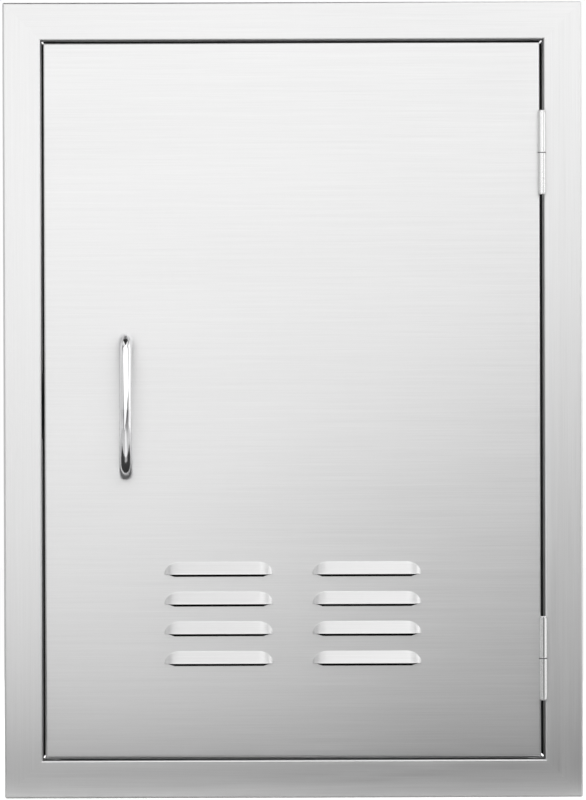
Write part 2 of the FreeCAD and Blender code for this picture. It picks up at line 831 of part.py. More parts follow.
def build_catch_housing():
    """A moulded block with two slotted ears, hollowed from the front for the magnet."""
    body = new_body("catch_housing")
    back = "size.catch_front + size.catch_depth"
    ears = new_sketch(body, "YZ_Plane", "ears_outline")
    draw_box(
        ears, "size.catch_front", back, "-size.catch_height / 2", "size.catch_height / 2"
    )
    add_feature(body, "Pad", "ears", ears, "size.catch_ear")
    block = new_sketch(body, "YZ_Plane", "block_outline")
    draw_box(
        block, "size.catch_front", back, "-size.catch_body_height / 2", "size.catch_body_height / 2"
    )
    solid = add_feature(body, "Pad", "block", block, "size.catch_body_width")

    def outer_edge(edge):
        box = edge.BoundBox
        top = near(box.Center.x, SIZES["catch_body_width"], 1e-3) and box.XLength < 1e-3
        ear_end = box.YLength < 1e-3 and near(abs(box.Center.z), SIZES["catch_height"] / 2, 1e-3)
        return top or ear_end

    fillet(body, "soft_edges", solid, outer_edge, "size.sheet")
    doc.recompute()
    pocket = new_sketch(body, "XZ_Plane", "magnet_pocket", "-size.catch_front")
    middle = "size.catch_body_width / 2 + size.sheet / 2"
    draw_box(
        pocket,
        f"{middle} - {MAGNET_X}",
        f"{middle} + {MAGNET_X}",
        "-size.magnet_height / 2",
        "size.magnet_height / 2",
    )
    add_feature(
        body, "Pocket", "magnet_pocket_cut", pocket, "size.catch_depth * 0.8"
    )
    slots = new_sketch(body, "YZ_Plane", "ear_slots")
    for sign in ("-", "+"):
        draw_slot(
            slots,
            CATCH_MIDDLE,
            f"{sign}size.catch_screw_pitch / 2",
            "size.catch_hole_radius",
            "size.catch_slot_length",
        )
    add_feature(body, "Pocket", "ear_slots_cut", slots, "size.catch_ear * 2", reversed_way=True)
    place(body, f"-{OPENING_X}", "0", "size.handle_centre")
    return body


def block(label, wide, deep, high):
    """A plain block with its corner on the origin."""
    item = doc.addObject("Part::Box", label)
    bind(item, Length=wide, Width=deep, Height=high)
    return item


def build_catch():
    build_catch_housing()
    centre = f"(-{OPENING_X} + size.catch_body_width / 2 + size.sheet / 2)"
    low = "size.handle_centre - size.magnet_height / 2"
    bottom = "size.catch_front + size.catch_depth * 0.8"
    magnet_front = "size.catch_front + size.magnet_recess"
    magnet = node(
        block(
            "catch_magnet", "size.magnet_thickness", f"{bottom} - ({magnet_front})",
            "size.magnet_height",
        ),
        "catch_magnet",
    )
    place(magnet, f"{centre} - size.magnet_thickness / 2", magnet_front, low)
    plate_front = "size.catch_front - size.pole_stand"
    plates = []
    for name, corner in (
        ("left", f"{centre} - {MAGNET_X}"),
        ("right", f"{centre} + size.magnet_thickness / 2"),
    ):
        plate = block(
            f"pole_plate_{name}", "size.pole_thickness", f"{bottom} - ({plate_front})",
            "size.magnet_height",
        )
        place(plate, corner, plate_front, low)
        plates.append(plate)
    group("catch_pole_plates", plates)

    screws, nuts = [], []
    for count, height in enumerate(CATCH_SCREWS, start=1):
        item = screw(
            f"catch_screw_{count}",
            "size.catch_screw_radius",
            "size.catch_screw_length",
            "size.catch_screw_head_radius",
            "size.catch_screw_head",
        )
        item.Placement = Placement(Vector(0, 0, 0), Rotation(Vector(0, 1, 0), 90))
        place(item, f"-{OPENING_X} + size.catch_ear", CATCH_MIDDLE, height)
        screws.append(item)
        nuts.append(hexagon_nut(f"catch_nut_{count}", height))
    group("catch_screws", screws)
    group("catch_nuts", nuts)


def hexagon_nut(label, height):
    """A nut on the outside of the left box wall, its axis along X."""
    hexagon = doc.addObject("Part::Prism", f"{label}_hexagon")
    hexagon.Polygon = 6
    bind(hexagon, Circumradius="size.nut_flats / 2 / cos(30 deg)", Height="size.nut_thickness")
    hole = doc.addObject("Part::Cylinder", f"{label}_hole")
    bind(hole, Radius="size.catch_screw_radius + size.nut_clearance", Height="size.nut_thickness")
    nut = doc.addObject("Part::Cut", label)
    nut.Base = hexagon
    nut.Tool = hole
    nut.Placement = Placement(Vector(0, 0, 0), Rotation(Vector(0, 1, 0), -90))
    place(nut, f"-{OPENING_X} - size.sheet", CATCH_MIDDLE, height)
    return nut


def build_strike():
    """A steel plate with round corners, welded to the rear lip of the door."""
    body = new_body("strike_plate")
    outline = new_sketch(body, "XZ_Plane", "strike_outline")
    half_width, half_height = "size.strike_width / 2", "size.strike_height / 2"
    draw_box(outline, f"-{half_width}", half_width, f"-{half_height}", half_height)
    plate = add_feature(body, "Pad", "plate", outline, "size.strike_sheet", reversed_way=True)

    def corner(edge):
        box = edge.BoundBox
        return box.XLength < 1e-3 and box.ZLength < 1e-3

    fillet(body, "round_corners", plate, corner, "2 * size.sheet")
    place(body, STRIKE_X, DOOR_BACK, "size.handle_centre")


def check_all():
    """Every object is computed, every cut takes something away, and every piece is a valid solid."""
    doc.recompute()
    for item in doc.Objects:
        if "Invalid" in item.State or "Error" in item.State:
            raise ValueError(f"{item.Label} failed: {item.State} {item.getStatusString()}")
        cuts = item.TypeId in ("PartDesign::Pocket", "PartDesign::Groove", "PartDesign::Hole")
        if cuts and item.Shape.Volume > item.BaseFeature.Shape.Volume - 1e-3:
            raise ValueError(f"{item.Label} cuts nothing")
    for item in NODES:
        shape = item.Shape
        if shape.isNull() or not shape.isValid() or not shape.Solids:
            raise ValueError(f"{item.Label} has no valid solid")


def main():
    fill_sheet()
    build_frame()
    build_hinges()
    build_door_skin()
    build_stiffener()
    build_handle()
    build_handle_fasteners()
    build_catch()
    build_strike()
    check_all()
    os.makedirs("parts", exist_ok=True)
    for item in NODES:
        item.Shape.exportStep(os.path.join("parts", f"{item.Label}.step"))
        print(f"{item.Label}: {len(item.Shape.Solids)} solids, {item.Shape.Volume:.1f} mm3")


main()
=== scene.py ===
import logging
import math
from dataclasses import dataclass, field
from enum import Enum
from typing import Any, Mapping, Sequence, Union

import bmesh
import bpy
from bmesh.types import BMEdge, BMesh, BMFace, BMVert
from mathutils import Matrix, Vector


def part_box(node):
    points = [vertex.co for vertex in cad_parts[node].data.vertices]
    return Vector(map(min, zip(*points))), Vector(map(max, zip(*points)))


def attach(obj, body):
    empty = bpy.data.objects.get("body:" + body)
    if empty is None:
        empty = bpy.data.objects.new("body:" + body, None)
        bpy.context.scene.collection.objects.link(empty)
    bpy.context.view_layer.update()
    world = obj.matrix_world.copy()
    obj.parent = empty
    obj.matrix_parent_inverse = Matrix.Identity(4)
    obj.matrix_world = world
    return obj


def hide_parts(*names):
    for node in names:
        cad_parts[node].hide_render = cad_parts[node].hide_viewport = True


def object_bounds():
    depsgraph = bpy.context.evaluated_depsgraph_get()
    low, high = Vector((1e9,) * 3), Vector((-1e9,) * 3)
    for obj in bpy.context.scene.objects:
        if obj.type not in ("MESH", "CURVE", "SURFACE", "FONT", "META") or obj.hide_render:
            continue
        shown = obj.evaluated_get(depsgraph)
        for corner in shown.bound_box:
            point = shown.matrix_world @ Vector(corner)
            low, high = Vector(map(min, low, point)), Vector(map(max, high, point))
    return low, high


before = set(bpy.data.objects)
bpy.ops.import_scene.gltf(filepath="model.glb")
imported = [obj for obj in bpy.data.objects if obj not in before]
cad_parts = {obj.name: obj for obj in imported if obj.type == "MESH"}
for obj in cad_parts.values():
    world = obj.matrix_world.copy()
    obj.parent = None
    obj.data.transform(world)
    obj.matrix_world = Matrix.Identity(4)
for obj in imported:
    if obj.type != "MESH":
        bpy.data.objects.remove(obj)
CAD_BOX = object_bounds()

# A vented access door for an outdoor kitchen island, dressed for a studio picture. The classes
# work in millimetres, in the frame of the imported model, and keep() turns a mesh into metres.

MM = 0.001
X = Vector((1, 0, 0))
Y = Vector((0, 1, 0))
Z = Vector((0, 0, 1))
# The angle in radians past which the edge between two faces counts as a corner.
CORNER = 1.2

logging.basicConfig(level=logging.INFO, format="%(name)s: %(message)s")
LOG = logging.getLogger("access_door")


class Body(Enum):
    """What a piece moves with."""

    FRAME = "frame"
    DOOR = "door"


class Slot(Enum):
    """The record's material slots."""

    FRAME = "frame_steel"
    DOOR = "door_steel"
    PLAIN = "plain_steel"
    HINGE = "hinge_steel"
    POLISHED = "polished_steel"
    FASTENER = "fastener_steel"
    PLATED = "plated_steel"
    PLASTIC = "catch_plastic"
    FERRITE = "ferrite"


class Grain(Enum):
    """The way that the brush went over a sheet: true for each axis that the lines run along."""

    LEVEL = (True, False, False)
    UPRIGHT = (False, False, True)


class Socket:
    """A number or colour on a node, whose arithmetic adds Math nodes."""

    def __init__(self, graph: "Graph", link: bpy.types.NodeSocket) -> None:
        """Holds a node's output and the graph that it belongs to."""
        self.graph = graph
        self.link = link

    def _math(self, operation: str, other: "Feed") -> "Socket":
        """Adds one Math node."""
        return self.graph.node("ShaderNodeMath", {"operation": operation}, {0: self, 1: other})

    def __add__(self, other: "Feed") -> "Socket":
        """The sum."""
        return self._math("ADD", other)

    def __sub__(self, other: "Feed") -> "Socket":
        """The difference."""
        return self._math("SUBTRACT", other)

    def __mul__(self, other: "Feed") -> "Socket":
        """The product."""
        return self._math("MULTIPLY", other)

    __radd__ = __add__
    __rmul__ = __mul__

    def clamped(self) -> "Socket":
        """The number held between 0 and 1."""
        return self._math("MAXIMUM", 0.0)._math("MINIMUM", 1.0)


Feed = Union[Socket, float, Sequence[float]]


def grey(tone: float) -> tuple[float, float, float, float]:
    """An opaque grey, from 0 for black to 1 for white."""
    return (tone, tone, tone, 1.0)


class Graph:
    """The node tree of one material or of the world."""

    def __init__(self, owner: Union[bpy.types.Material, bpy.types.World]) -> None:
        """Starts an empty tree.

        Args:
            owner: the material or world, whose own nodes are cleared away.
        """
        owner.use_nodes = True
        self.tree = owner.node_tree
        self.tree.nodes.clear()

    def node(
        self,
        kind: str,
        settings: Mapping[str, Any] = {},
        feeds: Mapping[Union[str, int], Feed] = {},
        output: Union[str, int] = 0,
    ) -> Socket:
        """Adds a node, sets it up and feeds its sockets.

        Args:
            kind: the node's type.
            settings: its own properties, set first; "stops" are a ramp's places and tones.
            feeds: a value or a link for each socket that doesn't keep its default.
            output: which of its outputs is wanted.

        Returns:
            The wanted output.
        """
        made = self.tree.nodes.new(kind)
        for name, value in settings.items():
            if name == "stops":
                for stop, (place, tone) in zip(made.color_ramp.elements, value):
                    stop.position = place
                    stop.color = grey(tone)
            else:
                setattr(made, name, value)
        for name, feed in feeds.items():
            if isinstance(feed, Socket):
                self.tree.links.new(feed.link, made.inputs[name])
            else:
                made.inputs[name].default_value = feed
        return Socket(self, made.outputs[output] if made.outputs else None)

    def noise(self, place: Socket, spacing: Sequence[float], detail: float) -> Socket:
        """A smooth pattern from 0 to 1.

        Args:
            place: where on the piece, in metres.
            spacing: how far apart its features are along X, Y and Z, in millimetres.
            detail: how many finer layers it has.

        Returns:
            The pattern's height.
        """
        scale = [1.0 / (MM * step) for step in spacing]
        spread = self.node("ShaderNodeMapping", {}, {"Vector": place, "Scale": scale})
        return self.node("ShaderNodeTexNoise", {}, {"Vector": spread, "Scale": 1.0, "Detail": detail})

    def tones(self, share: Socket, colour: Sequence[float], down: float, up: float) -> Socket:
        """A colour that swings about its mean.

        Args:
            share: the swing's pattern, from 0 for the darkest to 1 for the lightest.
            colour: the mean colour.
            down: how much darker the darkest is, as a share of the colour.
            up: how much lighter the lightest is.

        Returns:
            The colour.
        """
        dark, light = (
            (*(channel * (1.0 + swing) for channel in colour), 1.0) for swing in (-down, up)
        )
        feeds = {0: share, 6: dark, 7: light}
        return self.node("ShaderNodeMix", {"data_type": "RGBA"}, feeds, output=2)

    def bump(self, height: Socket, strength: float, depth: float) -> Socket:
        """A normal that follows a pattern of a depth in millimetres."""
        feeds = {"Strength": strength, "Distance": MM * depth, "Height": height}
        return self.node("ShaderNodeBump", {}, feeds)

    def shader(self, feeds: Mapping[str, Feed]) -> Socket:
        """A surface with its sockets fed by name."""
        return self.node("ShaderNodeBsdfPrincipled", {}, feeds)

    def by_view(self, mirrored: Socket, looked_at: Socket) -> Socket:
        """One surface for light and mirrors, and another for what the camera looks at."""
        camera = self.node("ShaderNodeLightPath", output="Is Camera Ray")
        return self.node("ShaderNodeMixShader", {}, {0: camera, 1: mirrored, 2: looked_at})

    def end(self, surface: Socket, kind: str = "Material") -> None:
        """Joins the surface to the tree's output."""
        self.node(f"ShaderNodeOutput{kind}", {}, {"Surface": surface})


@dataclass(frozen=True)
class Finish:
    """What every finish has.

    Attributes:
        name: the material's name.
        slot: the record's slot that it stands for; it is not used.
        colour: its mean tone, from 0 to 1.
        roughness: its mean roughness.
    """

    name: str
    slot: Slot
    colour: tuple[float, float, float]
    roughness: float

    def paint(self) -> bpy.types.Material:
        """Builds the material.

        Returns:
            The new material, its shader joined to the output.
        """
        material = bpy.data.materials.new(self.name)
        graph = Graph(material)
        place = graph.node("ShaderNodeTexCoord", output="Object")
        graph.end(graph.shader(self.feeds(graph, place)))
        return material

    def feeds(self, graph: Graph, place: Socket) -> dict[str, Feed]:
        """What goes into the shader. Each finish has its own.

        Args:
            graph: the material's nodes.
            place: Object coordinates.

        Returns:
            A feed for each socket by its name.
        """
        raise NotImplementedError


@dataclass(frozen=True)
class BrushedSteel(Finish):
    """Sheet brushed one way, with fine lines over broader streaks and a faint cloud.

    Attributes:
        grain: the way of the lines.
        hair: the spacing of the finest lines, in millimetres.
        contrast: how far the lines' tone swings, as a share of the colour.
        relief: the height of the lines, in millimetres.
    """

    grain: Grain = Grain.LEVEL
    hair: float = 0.55
    contrast: float = 0.07
    relief: float = 0.004

    def spacing(self, across: float, along: float) -> list[float]:
        """A pattern's spacing on each axis, long on the grain's own."""
        return [along if runs else across for runs in self.grain.value]

    def feeds(self, graph: Graph, place: Socket) -> dict[str, Feed]:
        """Lines in the tone, the gloss and the height.

        Args:
            graph: the material's nodes.
            place: Object coordinates.

        Returns:
            A feed for each socket by its name.
        """
        hairs = graph.noise(place, self.spacing(self.hair, 110 * self.hair), 2.0)
        streaks = graph.noise(place, self.spacing(4 * self.hair, 420 * self.hair), 3.0)
        clouds = graph.noise(place, self.spacing(70.0, 240.0), 2.0)
        lines = 0.55 * hairs + 0.45 * streaks
        share = (0.5 + 1.6 * (lines - 0.5) + 0.5 * (clouds - 0.5)).clamped()
        return {
            "Base Color": graph.tones(share, self.colour, self.contrast, self.contrast),
            "Roughness": self.roughness + 0.16 * (hairs - 0.5) + 0.10 * (streaks - 0.5),
            "Metallic": 1.0,
            "Normal": graph.bump(lines, 0.5, self.relief),
        }


@dataclass(frozen=True)
class PolishedSteel(Finish):
    """Buffed bright, with the haze and the few hairlines that handling leaves."""

    def feeds(self, graph: Graph, place: Socket) -> dict[str, Feed]:
        """Haze in the gloss and a trace of it in the tone.

        Args:
            graph: the material's nodes.
            place: Object coordinates.

        Returns:
            A feed for each socket by its name.
        """
        haze = graph.noise(place, [14.0, 14.0, 22.0], 3.0)
        hairlines = graph.noise(place, [0.5, 0.5, 18.0], 2.0)
        return {
            "Base Color": graph.tones(haze, self.colour, 0.03, 0.03),
            "Roughness": self.roughness + 0.03 * haze + 0.02 * hairlines,
            "Metallic": 1.0,
        }


@dataclass(frozen=True)
class SatinSteel(Finish):
    """Tumbled or rolled steel with a fine even tooth.

    Attributes:
        tooth: the spacing of its texture, in millimetres.
        mottle: how far its tone swings, as a share of the colour.
    """

    tooth: float = 0.4
    mottle: float = 0.07

    def feeds(self, graph: Graph, place: Socket) -> dict[str, Feed]:
        """An even tooth over a soft mottle.

        Args:
            graph: the material's nodes.
            place: Object coordinates.

        Returns:
            A feed for each socket by its name.
        """
        tooth = graph.noise(place, [self.tooth] * 3, 2.0)
        mottle = graph.noise(place, [9.0] * 3, 3.0)
        return {
            "Base Color": graph.tones(mottle, self.colour, self.mottle, self.mottle),
            "Roughness": self.roughness + 0.14 * (tooth - 0.5) + 0.10 * (mottle - 0.5),
            "Metallic": 1.0,
            "Normal": graph.bump(tooth, 0.4, 0.004),
        }


@dataclass(frozen=True)
class ZincPlate(Finish):
    """Bright zinc with small spangles."""

    def feeds(self, graph: Graph, place: Socket) -> dict[str, Feed]:
        """Spangles in the tone and the gloss.

        Args:
            graph: the material's nodes.
            place: Object coordinates.

        Returns:
            A feed for each socket by its name.
        """
        cells = graph.node("ShaderNodeTexVoronoi", {}, {"Vector": place, "Scale": 1300.0}, "Color")
        spangles = graph.node("ShaderNodeRGBToBW", {}, {"Color": cells})
        mottle = graph.noise(place, [6.0] * 3, 2.0)
        return {
            "Base Color": graph.tones(0.5 * spangles + 0.5 * mottle, self.colour, 0.06, 0.06),
            "Roughness": self.roughness + 0.06 * (spangles - 0.5),
            "Metallic": 1.0,
        }


@dataclass(frozen=True)
class Moulding(Finish):
    """A matt moulded or pressed part.

    Attributes:
        skin: the spacing of its surface texture, in millimetres.
        depth: the texture's depth, in millimetres.
    """

    skin: float = 0.7
    depth: float = 0.02

    def feeds(self, graph: Graph, place: Socket) -> dict[str, Feed]:
        """A fine skin texture and a slight change of tone.

        Args:
            graph: the material's nodes.
            place: Object coordinates.

        Returns:
            A feed for each socket by its name.
        """
        skin = graph.noise(place, [self.skin] * 3, 3.0)
        tone = graph.noise(place, [18.0] * 3, 2.0)
        return {
            "Base Color": graph.tones(0.5 * skin + 0.5 * tone, self.colour, 0.07, 0.05),
            "Roughness": self.roughness + 0.12 * (skin - 0.5),
            "Normal": graph.bump(skin, 0.6, self.depth),
        }


SHEET = (0.80, 0.80, 0.80)
AS_ROLLED = (0.60, 0.60, 0.605)
STILE_STEEL = BrushedSteel("stile_brushed_upright", Slot.FRAME, SHEET, 0.37, Grain.UPRIGHT)
RAIL_STEEL = BrushedSteel("rail_brushed_level", Slot.FRAME, SHEET, 0.37, Grain.LEVEL)
DOOR_STEEL = BrushedSteel("door_brushed_level", Slot.DOOR, SHEET, 0.36, Grain.LEVEL)
HINGE_STEEL = BrushedSteel(
    "hinge_satin", Slot.HINGE, SHEET, 0.17, Grain.UPRIGHT, hair=0.30, contrast=0.06, relief=0.002
)
MILL_STEEL = SatinSteel("mill_finish", Slot.PLAIN, (0.66, 0.66, 0.67), 0.42, 0.9, 0.10)
FRAME_BACK = SatinSteel("frame_as_rolled", Slot.FRAME, AS_ROLLED, 0.46, 0.9, 0.10)
# Painted shade: the box wall inside the frame is a darker grey than the as-rolled back, so the gap
# round the door reads dark.
WELL_PAINTED_SHADE = SatinSteel("frame_well_painted_shade", Slot.FRAME, (0.40, 0.40, 0.405), 0.48, 0.9, 0.10)
# Painted shadow: the rear lip's front face is near black, so the gap round the door reads black.
LIP_PAINTED_SHADOW = SatinSteel("frame_lip_painted_shadow", Slot.FRAME, (0.05, 0.05, 0.05), 0.60, 0.9, 0.10)
DOOR_INSIDE = SatinSteel("door_as_rolled", Slot.DOOR, AS_ROLLED, 0.46, 0.9, 0.10)
# Painted shade: the folds inside each louvre's opening are near black, so the slit under the lip
# reads black.
LOUVRE_MOUTH_SHADE = SatinSteel("louvre_mouth_painted_shade", Slot.DOOR, (0.015, 0.015, 0.015), 0.70, 0.5, 0.10)
WASHER_STEEL = SatinSteel("washer_blackened", Slot.FASTENER, (0.16, 0.16, 0.165), 0.40, 0.25, 0.05)
SCREW_STEEL = SatinSteel("screw_satin", Slot.FASTENER, (0.70, 0.70, 0.70), 0.30, 0.25, 0.05)
HANDLE_STEEL = PolishedSteel("handle_polish", Slot.POLISHED, (0.88, 0.88, 0.89), 0.05)
PLATED_STEEL = ZincPlate("bright_zinc", Slot.PLATED, (0.72, 0.73, 0.75), 0.32)
CATCH_PLASTIC = Moulding("catch_moulding", Slot.PLASTIC, (0.06, 0.06, 0.062), 0.55)
FERRITE = Moulding("pressed_ferrite", Slot.FERRITE, (0.07, 0.07, 0.075), 0.62, 0.35, 0.03)

PAINTED: dict[Finish, bpy.types.Material] = {}


def material_of(finish: Finish) -> bpy.types.Material:
    """The material of a finish, painted the first time that it is wanted.

    Args:
        finish: the finish.

    Returns:
        Its material.
    """
    if finish not in PAINTED:
        PAINTED[finish] = finish.paint()
    return PAINTED[finish]


def box_of(node: str) -> tuple[Vector, Vector]:
    """The lowest and highest corner of a CAD node, in millimetres."""
    low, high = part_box(node)
    return low / MM, high / MM


def corner_of(node: str, which: int) -> Any:
    """A class's field that is a CAD node's lowest corner (0) or its highest one (1)."""
    return field(default_factory=lambda: box_of(node)[which])


def in_scene(name: str, data: Any) -> bpy.types.Object:
    """Puts a mesh, a lamp or a camera in the scene.

    Args:
        name: the object's name.
        data: the mesh, the lamp or the camera.

    Returns:
        The new object.
    """
    made = bpy.data.objects.new(name, data)
    bpy.context.scene.collection.objects.link(made)
    return made


def shown(mesh: BMesh, name: str, materials: Sequence[bpy.types.Material]) -> bpy.types.Object:
    """Turns a mesh into an object.

    Args:
        mesh: the mesh, in metres; it is used up.
        name: the object's name.
        materials: its surfaces, by the material index of its faces.

    Returns:
        The new object.
    """
    data = bpy.data.meshes.new(name)
    mesh.to_mesh(data)
    mesh.free()
    for material in materials:
        data.materials.append(material)
    return in_scene(name, data)


def keep(
    mesh: BMesh,
    name: str,
    body: Body,
    finishes: Sequence[Finish],
    replaces: str,
    crease: float = 35.0,
) -> None:
    """Makes a finished mesh a piece of the object.

    Args:
        mesh: the mesh, in millimetres; it is used up.
        name: the piece's name.
        body: what it moves with.
        finishes: its surfaces, by the material index of its faces.
        replaces: the CAD node that it stands for.
        crease: the angle in degrees past which an edge stays sharp.
    """
    bmesh.ops.scale(mesh, verts=mesh.verts[:], vec=Vector((MM, MM, MM)))
    piece = shown(mesh, name, [material_of(finish) for finish in finishes])
    piece.data.shade_smooth()
    piece.data.set_sharp_from_angle(angle=math.radians(crease))
    flat = piece.modifiers.new("flat_faces_stay_flat", "WEIGHTED_NORMAL")
    flat.keep_sharp = True
    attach(piece, body.value)
    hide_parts(replaces)
    LOG.info("%s: %d faces, on %s", name, len(piece.data.polygons), body.value)


def dress(node: str, finish: Finish) -> None:
    """Gives a CAD node that is shown as it is a finish of its own.

    Args:
        node: the CAD node.
        finish: its finish.
    """
    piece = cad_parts[node]
    piece.data.materials.clear()
    piece.data.materials.append(material_of(finish))
    LOG.info("%s: kept, %s", node, finish.name)


class Pen:
    """Draws an open section by going forward and bending, like a strip in a folding machine."""

    def __init__(self, start: Vector, heading: Vector, axis: Vector) -> None:
        """Sets the pen down.

        Args:
            start: where the section begins.
            heading: the way of the first run.
            axis: what the bends turn about, right-handed.
        """
        self.mesh = bmesh.new()
        self.tip = self.mesh.verts.new(start)
        self.heading = heading.normalized()
        self.axis = axis.normalized()

    def go(self, length: float) -> "Pen":
        """Draws a straight run.

        Args:
            length: its length.

        Returns:
            The pen, for the next stroke.
        """
        made = bmesh.ops.extrude_vert_indiv(self.mesh, verts=[self.tip])
        self.tip = made["verts"][0]
        bmesh.ops.translate(self.mesh, verts=[self.tip], vec=self.heading * length)
        return self

    def turn(self, degrees: float) -> "Pen":
        """Turns on the spot, for a sharp corner."""
        self.heading = Matrix.Rotation(math.radians(degrees), 3, self.axis) @ self.heading
        return self

    def arc(self, centre: Vector, degrees: float, steps: int) -> "Pen":
        """Draws an arc about a centre, and leaves the heading as it is.

        Args:
            centre: the arc's centre.
            degrees: how far it goes round.
            steps: how many edges it has.

        Returns:
            The pen, for the next stroke.
        """
        made = bmesh.ops.spin(
            self.mesh,
            geom=[self.tip],
            cent=centre,
            axis=self.axis,
            angle=math.radians(degrees),
            steps=steps,
            use_duplicate=False,
        )
        self.tip = of_kind(made["geom_last"], BMVert)[0]
        return self

    def bend(self, radius: float, degrees: float, steps: int = 5) -> "Pen":
        """Draws an arc that goes on from the run before it.

        Args:
            radius: the arc's radius.
            degrees: how far it turns.
            steps: how many edges it has.

        Returns:
            The pen, for the next stroke.
        """
        inward = self.axis.cross(self.heading) * math.copysign(radius, degrees)
        return self.arc(self.tip.co + inward, degrees, steps).turn(degrees)


def of_kind(items: Sequence[Any], kind: type) -> list:
    """The vertices, the edges or the faces among what an operator made."""
    return [item for item in items if isinstance(item, kind)]


def all_of(faces: Sequence[BMFace]) -> list:
    """Some faces with their edges and vertices, each once and in order."""
    return list(dict.fromkeys(item for face in faces for item in (face, *face.edges, *face.verts)))


def everything(mesh: BMesh) -> list:
    """All vertices, edges and faces of a mesh, for an operator's geom."""
    return [*mesh.verts, *mesh.edges, *mesh.faces]


def grow(
    mesh: BMesh, edges: Sequence[BMEdge]
) -> tuple[list[BMEdge], list[BMVert], list[BMFace]]:
    """Extrudes edges and leaves the new ones where they are, to be moved.

    Args:
        mesh: the mesh.
        edges: its edges that grow.

    Returns:
        The new edges at the far side, their vertices and the faces up to them.
    """
    made = bmesh.ops.extrude_edge_only(mesh, edges=edges)["geom"]
    return of_kind(made, BMEdge), of_kind(made, BMVert), of_kind(made, BMFace)


def push(mesh: BMesh, faces: Sequence[BMFace], way: Vector, hollow: bool = False) -> list[BMVert]:
    """Extrudes faces.

    Args:
        mesh: the mesh.
        faces: its faces that are pushed.
        way: how far and which way they go.
        hollow: whether the faces that stay behind are taken away, as in a solid's side.

    Returns:
        The vertices of the pushed faces.
    """
    verts = of_kind(bmesh.ops.extrude_face_region(mesh, geom=faces)["geom"], BMVert)
    if hollow:
        bmesh.ops.delete(mesh, geom=faces, context="FACES")
    bmesh.ops.translate(mesh, verts=verts, vec=way)
    return verts


def soften(mesh: BMesh, edges: Sequence[BMEdge], radius: float, segments: int) -> None:
    """Rounds edges over.

    Args:
        mesh: the mesh.
        edges: its edges that are rounded.
        radius: how far in from an edge the rounding begins.
        segments: how many faces it has.
    """
    bmesh.ops.bevel(
        mesh,
        geom=edges,
        offset=radius,
        offset_type="OFFSET",
        segments=segments,
        profile=0.5,
        affect="EDGES",
        material=-1,
        clamp_overlap=True,
    )


def sweep(mesh: BMesh, way: Vector) -> BMesh:
    """Extrudes a section, a chain of edges, into a strip."""
    bmesh.ops.translate(mesh, verts=grow(mesh, mesh.edges[:])[1], vec=way)
    return mesh


def lathe(mesh: BMesh, axis: Vector, steps: int) -> BMesh:
    """Turns a section into a closed solid of revolution.

    Args:
        mesh: the section, which starts and ends on the axis.
        axis: its direction, through the origin.
        steps: how many sides the solid has.

    Returns:
        The same mesh, its seam and poles merged and its faces turned outwards.
    """
    bmesh.ops.spin(
        mesh,
        geom=everything(mesh),
        cent=Vector(),
        axis=axis,
        angle=math.tau,
        steps=steps,
        use_merge=True,
        use_duplicate=False,
    )
    return closed(mesh)


def closed(mesh: BMesh) -> BMesh:
    """Merges doubles and turns the faces of a closed solid outwards.

    Args:
        mesh: the solid.

    Returns:
        The same mesh.
    """
    bmesh.ops.remove_doubles(mesh, verts=mesh.verts[:], dist=1e-4)
    bmesh.ops.recalc_face_normals(mesh, faces=mesh.faces[:])
    return mesh


def face_front(mesh: BMesh) -> BMesh:
    """Turns an open sheet so that its foremost face looks to the front, and the rest agrees.

    Args:
        mesh: the sheet.

    Returns:
        The same mesh.
    """
    bmesh.ops.recalc_face_normals(mesh, faces=mesh.faces[:])
    foremost = min(mesh.faces, key=lambda face: face.calc_center_median().y)
    if foremost.normal.y > 0:
        bmesh.ops.reverse_faces(mesh, faces=mesh.faces[:])
    return mesh


def thicken(mesh: BMesh, wall: float, most: float = 1.6) -> BMesh:
    """Gives an open sheet its thickness, away from the side that its faces look to.

    The new side, the back of the sheet, gets the second of the piece's finishes.

    Args:
        mesh: the sheet.
        wall: its thickness.
        most: how many thicknesses a corner may move at most.

    Returns:
        The same mesh, closed.
    """
    mesh.normal_update()
    inner, back = mesh.verts[:], mesh.faces[:]
    moves = [vert.normal * wall * min(vert.calc_shell_factor(), most) for vert in inner]
    bmesh.ops.extrude_face_region(mesh, geom=everything(mesh), use_keep_orig=True)
    for face in back:
        if face.material_index == 0:
            face.material_index = 1
    for vert, move in zip(inner, moves):
        vert.co -= move
    return closed(mesh)


def cut_off(mesh: BMesh, place: Vector, outward: Vector, fill: bool) -> None:
    """Takes away what lies past a plane.

    Args:
        mesh: the mesh.
        place: a point of the plane.
        outward: the plane's normal, towards what goes.
        fill: whether the cut is closed with a face.
    """
    made = bmesh.ops.bisect_plane(
        mesh, geom=everything(mesh), plane_co=place, plane_no=outward, clear_outer=True
    )
    if fill:
        bmesh.ops.holes_fill(mesh, edges=of_kind(made["geom_cut"], BMEdge))


def trim_lip(mesh: BMesh, depth: float, place: Vector, outward: Vector) -> None:
    """Takes away the part of a sheet's rear lip that lies past a plane.

    Args:
        mesh: the open sheet.
        depth: how far back the lip's faces lie at least.
        place: a point of the plane.
        outward: the plane's normal, towards what goes.
    """
    lip = [face for face in mesh.faces if face.calc_center_median().y > depth]
    bmesh.ops.bisect_plane(mesh, geom=all_of(lip), plane_co=place, plane_no=outward)
    past = [
        face
        for face in mesh.faces
        if face.calc_center_median().y > depth
        and (face.calc_center_median() - place).dot(outward) > 0
    ]
    bmesh.ops.delete(mesh, geom=past, context="FACES")


